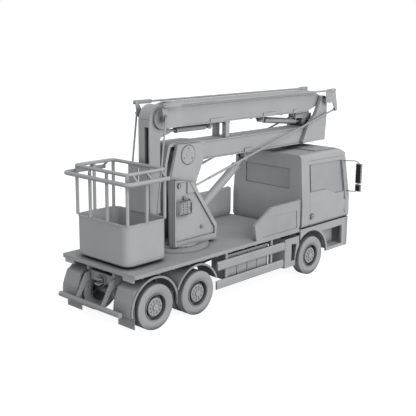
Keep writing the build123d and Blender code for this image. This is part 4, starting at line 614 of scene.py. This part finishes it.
@dataclass(frozen=True)
class Recess:
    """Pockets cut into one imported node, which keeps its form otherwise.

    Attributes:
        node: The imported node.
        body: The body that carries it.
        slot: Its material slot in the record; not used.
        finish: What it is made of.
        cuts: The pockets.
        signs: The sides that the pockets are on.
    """

    node: str
    body: str
    slot: str
    finish: Finish
    cuts: tuple[Prism, ...]
    signs: tuple[float, ...] = (1.0, -1.0)

    def build(self, nodes: dict[str, bpy.types.Object]) -> None:
        """Cut the pockets and let the result stand for the node.

        Args:
            nodes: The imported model's objects by name.
        """
        shape = bmesh.new()
        shape.from_mesh(nodes[self.node].data)
        bmesh.ops.remove_doubles(shape, verts=shape.verts, dist=MERGE_DISTANCE)
        for face in shape.faces:
            face.smooth = True
        mesh = bpy.data.meshes.new(self.node)
        shape.to_mesh(mesh)
        shape.free()
        mesh.set_sharp_from_angle(angle=SHARP_ANGLE)
        whole = bpy.data.objects.new("uncut", mesh)
        tool = bpy.data.objects.new("pockets", joined([
            cut.mesh(sign) for sign in self.signs for cut in self.cuts
        ]))
        for held in (whole, tool):
            bpy.context.scene.collection.objects.link(held)
        cutter = whole.modifiers.new("pockets", "BOOLEAN")
        cutter.operation = "DIFFERENCE"
        cutter.solver = "EXACT"
        cutter.use_self = True
        cutter.object = tool
        # The largest faces decide the shading at their edges, so that flat faces look flat.
        crease = whole.modifiers.new("flat_faces", "WEIGHTED_NORMAL")
        crease.keep_sharp = True
        crease.weight = 100
        graph = bpy.context.evaluated_depsgraph_get()
        result = bpy.data.meshes.new_from_object(whole.evaluated_get(graph))
        bpy.data.objects.remove(whole)
        bpy.data.objects.remove(tool)
        piece = mesh_object(self.node + "_panel", result, self.finish)
        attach(piece, self.body)
        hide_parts(self.node)
        LOG.info("cut %s", self.node)


# Pockets in a door: the upright slot behind its glass, the leaning slot ahead of the glass and the
# well of its grip.
DOOR_CUTS = (
    Prism(rectangle(4945, 4982, 2250, 2985), CAB_SIDE - 45, CAB_SIDE + PROUD, leaning=True),
    Prism(((6408, 2950), (6444, 2950), (6550, 2070), (6550, 1850), (6518, 1850), (6518, 2070)),
          CAB_SIDE - 45, CAB_SIDE + PROUD, leaning=True),
    Prism(rectangle(4975, 5075, 1505, 1685), CAB_SIDE - 38, CAB_SIDE + PROUD),
)
RECESSES = (
    Recess("door_left", "door_left_body", "cab_paint", CAB_PRIMER, DOOR_CUTS, (1.0,)),
    Recess("door_right", "door_right_body", "cab_paint", CAB_PRIMER, DOOR_CUTS, (-1.0,)),
    # The boarding recess behind the front corner, and the slot between its steps.
    Recess("cab_wings", "chassis", "cab_paint", CAB_PRIMER, (
        Prism(arc(ARCH, 797.0, 53.4, 8.3, 8)
              + ((5941, 586), (5711, 1069), (6484, 1061), (6480, 1112)), 1139, CAB_SIDE + 1),
        Prism(rectangle(5960, 6490, 813, 839), 860.2, 1126),
    )),
    # The panel's field, which stays clear of the tie rod's pocket, and the groove round the disc.
    Recess("turret_frame", "turret", "boom_paint", BOOM_PRIMER, (
        Prism(((666, 2995), (1044, 2985), (1044, 2692), (1302, 2692), (1990, 1728), (1992, 1575),
               (662, 1575)), TURRET_FLOOR, TURRET_TOOL_FACE),
        Prism(arc(BOOM_PIVOT, 238, 92, 448, 60) + arc(BOOM_PIVOT, 221, 448, 92, 60), 362, 386),
    )),
    # Eight key wells in two columns, and the upright slot beside them.
    Recess("control_box", "turret", "control_plastic", GRAINED_PLASTIC, tuple(
        Prism(disc((along, up), 17, 12), 550, 600)
        for along in (800, 925) for up in (2287, 2349, 2411, 2473)
    ) + (Prism(rectangle(1036, 1074, 2258, 2502), 520, 600),), (-1.0,)),
    # The hollows of the large and the small mirror head.
    Recess("mirrors", "chassis", "trim_plastic", GRAINED_PLASTIC, (
        Prism(rectangle(6780, 6830, 2296, 2814), 1374, 1526),
        Prism(rectangle(6780, 6830, 2068, 2232), 1376, 1524),
    )),
)


@dataclass(frozen=True)
class Plates:
    """Plates that are welded or bolted on at both sides, as one piece.

    Attributes:
        name: The piece's name.
        body: The body that carries it.
        slot: Its material slot in the record; not used.
        finish: What it is made of.
        solids: The plates of one side.
        signs: The sides that have them.
    """

    name: str
    body: str
    slot: str
    finish: Finish
    solids: tuple[Prism, ...]
    signs: tuple[float, ...] = (1.0, -1.0)

    def build(self) -> None:
        """Add the piece and let it ride on its body."""
        mesh = joined([solid.mesh(sign) for sign in self.signs for solid in self.solids])
        piece = mesh_object(self.name, mesh, self.finish)
        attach(piece, self.body)
        LOG.info("built %s", self.name)


# How far a saddle's cross plate rises over its side plate, half its thickness, and the distance of
# its inner end from the middle plane.
SADDLE_LIP = 8.0
SADDLE_HALF_PLATE = 8.0
SADDLE_INNER = 130.0


def saddle(rear: float, front: float, low: float, web_low: float, high: float,
           web: float) -> tuple[Prism, ...]:
    """Return a boom's saddle: a thin side plate and a deeper cross plate behind it.

    Args:
        rear: Place of the cross plate along the truck.
        front: Front end of the side plate.
        low: Foot of the cross plate.
        web_low: Foot of the side plate.
        high: Top of the cross plate.
        web: Distance of the boom's web from the middle plane.

    Returns:
        The two plates.
    """
    return (
        Prism(rectangle(rear, front, web_low, high - SADDLE_LIP), web - 4, web + 3),
        Prism(rectangle(rear - SADDLE_HALF_PLATE, rear + SADDLE_HALF_PLATE, low, high),
              SADDLE_INNER, web + 5),
    )


DOOR_GRIP = Prism(rectangle(5006, 5046, 1512, 1678), CAB_SIDE - 24, CAB_SIDE + 10)
PLATES = (
    Plates("upper_boom_saddles", "upper_boom_body", "boom_paint", BOOM_PRIMER,
           saddle(2055, 2545, 4146, 4236, 4342, 250) + saddle(4063, 4565, 4146, 4236, 4342, 250)
           + saddle(5336, 5570, 4146, 4236, 4342, 250)),
    Plates("lower_boom_saddle", "lower_boom_body", "boom_paint", BOOM_PRIMER,
           saddle(3320, 3610, 3272, 3415, 3500, 270)),
    # A curved arm to the elbow, and two stepped discs round its pin.
    Plates("elbow_horns", "lower_boom_body", "boom_paint", BOOM_PRIMER, (
        Prism(((5594, 4062), (5600, 4204), (5800, 4220), (6100, 4204), (6325, 4170), (6325, 3822),
               (6240, 3822), (6190, 3975), (5990, 4034), (5790, 4066)), 92, 116),
        Prism(disc(ELBOW_PIN, 95), 90, 118),
        Prism(disc(ELBOW_PIN, 80), 116, 134),
    )),
    Plates("mudguard_ends", "chassis", "trim_plastic", GRAINED_PLASTIC, (
        Prism(((-1060, 1095), (-1236, 1010), (-1262, 985), (-1346, 712), (-1376, 704),
               (-1392, 500), (-1384, 430)) + arc(GUARD, 686, 187.5, 128, 10), 627, 1161),
    )),
    # The curved liner, its inner wall, the wall beside the steps and the lowest step's edge.
    Plates("front_arch_liners", "chassis", "trim_plastic", GRAINED_PLASTIC, (
        Prism(arc(ARCH, 734, 8, 140, 22) + arc(ARCH, 721, 140, 8, 22), 560, 1139),
        Prism(arc(ARCH, 721, 15, 140, 20), 547, 561),
        Prism(arc(ARCH, 738, 53, 9, 8) + ((5945, 585), (5945, 1112)), 838, 858),
        Prism(((5762, 561), (5942, 561), (5942, 585), (5758, 585)), 860, 1139),
    )),
    Plates("door_grips_left", "door_left_body", "cab_paint", CAB_PRIMER, (DOOR_GRIP,), (1.0,)),
    Plates("door_grips_right", "door_right_body", "cab_paint", CAB_PRIMER, (DOOR_GRIP,), (-1.0,)),
    # A cover disc and its hub.
    Plates("pivot_discs", "turret", "boom_paint", BOOM_PRIMER, (
        Prism(disc(BOOM_PIVOT, 205, 48), 384, 399),
        Prism(disc(BOOM_PIVOT, 62), 398, 403),
    )),
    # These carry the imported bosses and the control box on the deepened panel.
    Plates("turret_bosses", "turret", "boom_paint", BOOM_PRIMER, (
        Prism(disc((786, 2901), 50), TURRET_FLOOR, TURRET_PLATE_FACE),
        Prism(disc((949, 2602), 40), TURRET_FLOOR, TURRET_PLATE_FACE),
        Prism(disc((1550, 1809), 40), TURRET_FLOOR, TURRET_PLATE_FACE),
    )),
    Plates("control_box_base", "turret", "control_plastic", GRAINED_PLASTIC,
           (Prism(rectangle(730, 1080, 2245, 2515), TURRET_FLOOR, TURRET_PLATE_FACE),), (-1.0,)),
    # The mirrors' glass, nearly black: painted reflection.
    Plates("mirror_glasses", "chassis", "trim_plastic", MIRROR_PAINTED_REFLECTION, (
        Prism(rectangle(6822, 6829, 2297, 2813), 1375, 1525),
        Prism(rectangle(6822, 6829, 2069, 2231), 1377, 1523),
    )),
)


@dataclass
class WheelSet:
    """Wheel nuts and hub bolts of the six wheel bodies.

    Attributes:
        places: Each wheel body's row and its place along the truck.
        hub_face: Distance of the hub's face from the middle plane.
        axle_height: Height of the axles.
        nuts: The ring of wheel nuts.
        cap_bolts: The ring of bolts in the hub's cap.
    """

    places: tuple[tuple[str, float], ...] = (
        ("front", 2.310), ("middle", -2.055), ("rear", -3.385),
    )
    hub_face: float = 1.182
    axle_height: float = 0.520
    nuts: BoltRing = BoltRing(0.150, 10, 0.0165, 0.020)
    cap_bolts: BoltRing = BoltRing(0.108, 8, 0.008, 0.008, 22.5)

    def build(self) -> None:
        """Add the nuts to each wheel and let them ride on it."""
        for row, along in self.places:
            for side, sign in (("left", 1.0), ("right", -1.0)):
                outward = Vector((0.0, sign, 0.0))
                seat = Vector((along, sign * self.hub_face, self.axle_height))
                rings = [ring.build(seat, outward, PLATED_LINK)
                         for ring in (self.nuts, self.cap_bolts)]
                name = f"wheel_nuts_{row}_{side}"
                piece = mesh_object(name, joined(rings), PLATED_LINK)
                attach(piece, f"wheel_{row}_{side}")
                LOG.info("built %s", name)


@dataclass
class PivotBolts:
    """Bolts that hold the pins' cover discs on the turret and the elbow.

    Attributes:
        turret_pivot: Boom pivot along the truck and up.
        disc_face: Distance of the disc's face from the middle plane.
        turret_ring: The bolts of one cover disc on the turret.
        elbow: Elbow pivot along the truck and up.
        crank_face: Distance of the front crank's outer face from the middle plane.
        elbow_ring: The bolts of one front crank.
    """

    turret_pivot: tuple[float, float] = (-1.570, 3.585)
    disc_face: float = 0.395
    turret_ring: BoltRing = BoltRing(0.150, 3, 0.020, 0.016, -35.0)
    elbow: tuple[float, float] = (3.840, 4.520)
    crank_face: float = 0.497
    elbow_ring: BoltRing = BoltRing(0.030, 3, 0.008, 0.0064, 30.0)

    def build(self) -> None:
        """Add the bolts and let them ride on their bodies."""
        rows = (
            ("turret_pin_bolts", "turret", self.turret_pivot, self.disc_face, self.turret_ring),
            ("elbow_pin_bolts", "upper_boom_body", self.elbow, self.crank_face, self.elbow_ring),
        )
        for name, body, (along, up), face, ring in rows:
            parts = []
            for sign in (1.0, -1.0):
                centre = Vector((along, sign * face, up))
                parts.append(ring.build(centre, Vector((0.0, sign, 0.0)), PLATED_LINK))
            piece = mesh_object(name, joined(parts), PLATED_LINK)
            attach(piece, body)
            LOG.info("built %s", name)


@dataclass
class SlewDrum:
    """The cover ring between the deck and the turret's floor.

    Attributes:
        centre: Slew axis along the truck.
        low: Foot of the ring, on the deck.
        high: Its top, just under the turret.
        radius: Its outer radius.
    """

    centre: float = -1.640
    low: float = 1.3756
    high: float = 1.4364
    radius: float = 0.8315

    def build(self) -> None:
        """Add the ring and let it ride on the chassis."""
        ring = rod_mesh(Vector((self.centre, 0.0, self.low)), Vector((self.centre, 0.0, self.high)),
                        self.radius, 96)
        piece = mesh_object("slew_cover", ring, BOOM_PRIMER)
        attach(piece, "chassis")
        LOG.info("built slew_cover")


@dataclass
class Wipers:
    """Two wiper arms with their blades, parked low on the windscreen.

    Attributes:
        foot_height: Height of the arms' pivots.
        foot_x: Place of the pivots along the truck.
        slope: How far back the windscreen leans for each metre up.
        arms: Pivot and blade end of each arm across the truck, and the blade end's rise.
        arm_gap: Distance of an arm's axis from the glass.
        arm_radius: Radius of an arm.
        spindle: Reach of an arm's spindle behind and ahead of the arm, and its radius.
        blade_gap: Distance of a blade's axis from the glass.
        blade_radius: Radius of a blade.
        blade_start: Where a blade starts: beyond the pivot across the truck, and up.
    """

    foot_height: float = 2.020
    foot_x: float = 4.052
    slope: float = 0.1365
    arms: tuple[tuple[float, float, float], ...] = ((0.72, -0.02, 0.30), (-0.06, -0.80, 0.30))
    arm_gap: float = 0.022
    arm_radius: float = 0.007
    spindle: tuple[float, float, float] = (0.03, 0.012, 0.020)
    blade_gap: float = 0.012
    blade_radius: float = 0.008
    blade_start: tuple[float, float] = (0.06, 0.07)

    def point(self, across: float, rise: float, proud: float) -> Vector:
        """Return a point just off the glass, at a place across, a rise and a distance proud."""
        along = self.foot_x - self.slope * rise + proud
        return Vector((along, across, self.foot_height + rise))

    def build(self) -> None:
        """Add the arms and blades and let them ride on the cab."""
        metal, rubber = [], []
        behind, ahead, spindle_radius = self.spindle
        inset, lift = self.blade_start
        for pivot, tip, rise in self.arms:
            start = self.point(pivot, 0.0, self.arm_gap)
            end = self.point((pivot + tip) / 2, rise / 2, self.arm_gap)
            metal.append(rod_mesh(start + Vector((-behind, 0.0, 0.0)),
                                  start + Vector((ahead, 0.0, 0.0)), spindle_radius))
            metal.append(rod_mesh(start, end, self.arm_radius))
            rubber.append(rod_mesh(self.point(pivot - inset, lift, self.blade_gap),
                                   self.point(tip, rise, self.blade_gap), self.blade_radius))
        arms = mesh_object("wiper_arms", joined(metal), PLATED_LINK)
        blades = mesh_object("wiper_blades", joined(rubber), TYRE_RUBBER)
        for piece, name in ((arms, "linkage_steel"), (blades, "tyre_rubber")):
            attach(piece, "chassis")
        LOG.info("built wipers")


@dataclass
class Studio:
    """The camera at the photograph's place, the floor, the sky and the lamps.

    Attributes:
        eye: The camera's place in metres.
        yaw: Its heading from +X towards +Y, in radians.
        pitch: How far it looks down.
        roll: Its turn about its own line of sight.
        lens: Focal length in millimetres on a 36 mm frame.
        sky_level: Strength of the even light from all round.
        key_level: Strength of the large lamp to the truck's right.
        key_from: Direction to that lamp.
        key_spread: Its angular size in degrees.
        floor_size: Half the floor's width in metres.
        paper_shade: The floor's own colour, from 0, black, to 1, white.
        paper_glow: Light that the floor shows the camera on top of that.
    """

    eye: tuple[float, float, float] = (-14.7048, -13.2347, 6.5318)
    yaw: float = 0.7486
    pitch: float = 0.2254
    roll: float = 0.0103
    lens: float = 69.12
    sky_level: float = 0.62
    key_level: float = 2.55
    key_from: tuple[float, float, float] = (-0.12, -0.93, 0.20)
    key_spread: float = 70.0
    floor_size: float = 60.0
    paper_shade: float = 0.30
    paper_glow: float = 0.90

    def camera(self) -> None:
        """Create the camera and make it the scene's own."""
        data = bpy.data.cameras.new("camera")
        data.sensor_fit = "HORIZONTAL"
        data.sensor_width = 36.0
        data.lens = self.lens
        data.clip_end = 400.0
        ahead = Vector((math.cos(self.yaw) * math.cos(self.pitch),
                        math.sin(self.yaw) * math.cos(self.pitch), -math.sin(self.pitch)))
        right = Vector((math.sin(self.yaw), -math.cos(self.yaw), 0.0))
        up = right.cross(ahead)
        turned_right = right * math.cos(self.roll) + up * math.sin(self.roll)
        turned_up = up * math.cos(self.roll) - right * math.sin(self.roll)
        made = bpy.data.objects.new("camera", data)
        frame = Matrix((turned_right, turned_up, -ahead)).transposed().to_4x4()
        made.matrix_world = Matrix.Translation(Vector(self.eye)) @ frame
        bpy.context.scene.collection.objects.link(made)
        bpy.context.scene.camera = made

    def seen_directly(self, tree: bpy.types.NodeTree) -> bpy.types.NodeSocket:
        """Add a factor that is one for the camera and for what metal and glass reflect.

        Args:
            tree: The tree of the world or of the floor.

        Returns:
            The factor's output socket.
        """
        path = add_node(tree, "ShaderNodeLightPath").outputs
        first = add_node(tree, "ShaderNodeMath", {"operation": "MAXIMUM"}, {
            0: path["Is Camera Ray"], 1: path["Is Glossy Ray"],
        })
        both = add_node(tree, "ShaderNodeMath", {"operation": "MAXIMUM"}, {
            0: first.outputs[0], 1: path["Is Transmission Ray"],
        })
        return both.outputs[0]

    def sky(self) -> None:
        """Set the even light and the white that the camera sees behind the truck."""
        world = bpy.data.worlds.new("studio_sky")
        bpy.context.scene.world = world
        world.use_nodes = True
        tree = world.node_tree
        tree.nodes.clear()
        light = add_node(tree, "ShaderNodeBackground", {"Color": WHITE, "Strength": self.sky_level})
        white = add_node(tree, "ShaderNodeBackground", {"Color": WHITE, "Strength": 1.0})
        mix = add_node(tree, "ShaderNodeMixShader", None, {
            0: self.seen_directly(tree), 1: light.outputs[0], 2: white.outputs[0],
        })
        add_node(tree, "ShaderNodeOutputWorld", None, {0: mix.outputs[0]})

    def floor(self) -> None:
        """Lay the white floor, which keeps a faint shadow of the truck."""
        shape = bmesh.new()
        bmesh.ops.create_grid(shape, x_segments=1, y_segments=1, size=self.floor_size)
        mesh = bpy.data.meshes.new("studio_floor")
        shape.to_mesh(mesh)
        shape.free()
        coat = bpy.data.materials.new("white_studio_paper")
        coat.use_nodes = True
        tree = coat.node_tree
        tree.nodes.clear()
        paper = add_node(tree, "ShaderNodeBsdfDiffuse", {"Color": (*[self.paper_shade] * 3, 1.0)})
        glow = add_node(tree, "ShaderNodeEmission", {"Color": WHITE, "Strength": self.paper_glow})
        lit = add_node(tree, "ShaderNodeAddShader", None, {0: paper.outputs[0], 1: glow.outputs[0]})
        mix = add_node(tree, "ShaderNodeMixShader", None, {
            0: self.seen_directly(tree), 1: paper.outputs[0], 2: lit.outputs[0],
        })
        add_node(tree, "ShaderNodeOutputMaterial", None, {0: mix.outputs[0]})
        mesh.materials.append(coat)
        made = bpy.data.objects.new("studio_floor", mesh)
        bpy.context.scene.collection.objects.link(made)

    def lamps(self) -> None:
        """Hang the large soft lamp to the truck's right."""
        data = bpy.data.lights.new("right_lamp", "SUN")
        data.energy = self.key_level
        data.angle = math.radians(self.key_spread)
        made = bpy.data.objects.new("right_lamp", data)
        made.rotation_euler = Vector(self.key_from).to_track_quat("Z", "Y").to_euler()
        bpy.context.scene.collection.objects.link(made)

    def build(self) -> None:
        """Set up everything round the truck."""
        self.camera()
        self.sky()
        self.floor()
        self.lamps()
        bpy.context.scene.view_settings.view_transform = "Standard"
        LOG.info("built the studio")


def dress(nodes: dict[str, bpy.types.Object]) -> None:
    """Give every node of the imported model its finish.

    Args:
        nodes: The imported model's objects by name.
    """
    finishes = {name: finish for finish, names in DRESS.items() for name in names}
    for name, node in nodes.items():
        if name.startswith("tyre_"):
            finish = TYRE_RUBBER
        elif name.startswith("rim_"):
            finish = WHEEL_PRIMER
        else:
            finish = finishes[name]
        for slot in node.material_slots:
            slot.material = finish.material()
        LOG.info("dressed %s in %s", name, finish.name)


def main() -> None:
    """Load the model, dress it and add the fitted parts."""
    logging.basicConfig(level=logging.INFO, format="%(name)s: %(message)s")
    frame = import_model()
    dress(frame["nodes"])
    for recess in RECESSES:
        recess.build(frame["nodes"])
    for assembly in (*PLATES, SlewDrum(), WheelSet(), PivotBolts(), Wipers(), Studio()):
        assembly.build()


if __name__ == "__main__":
    main()
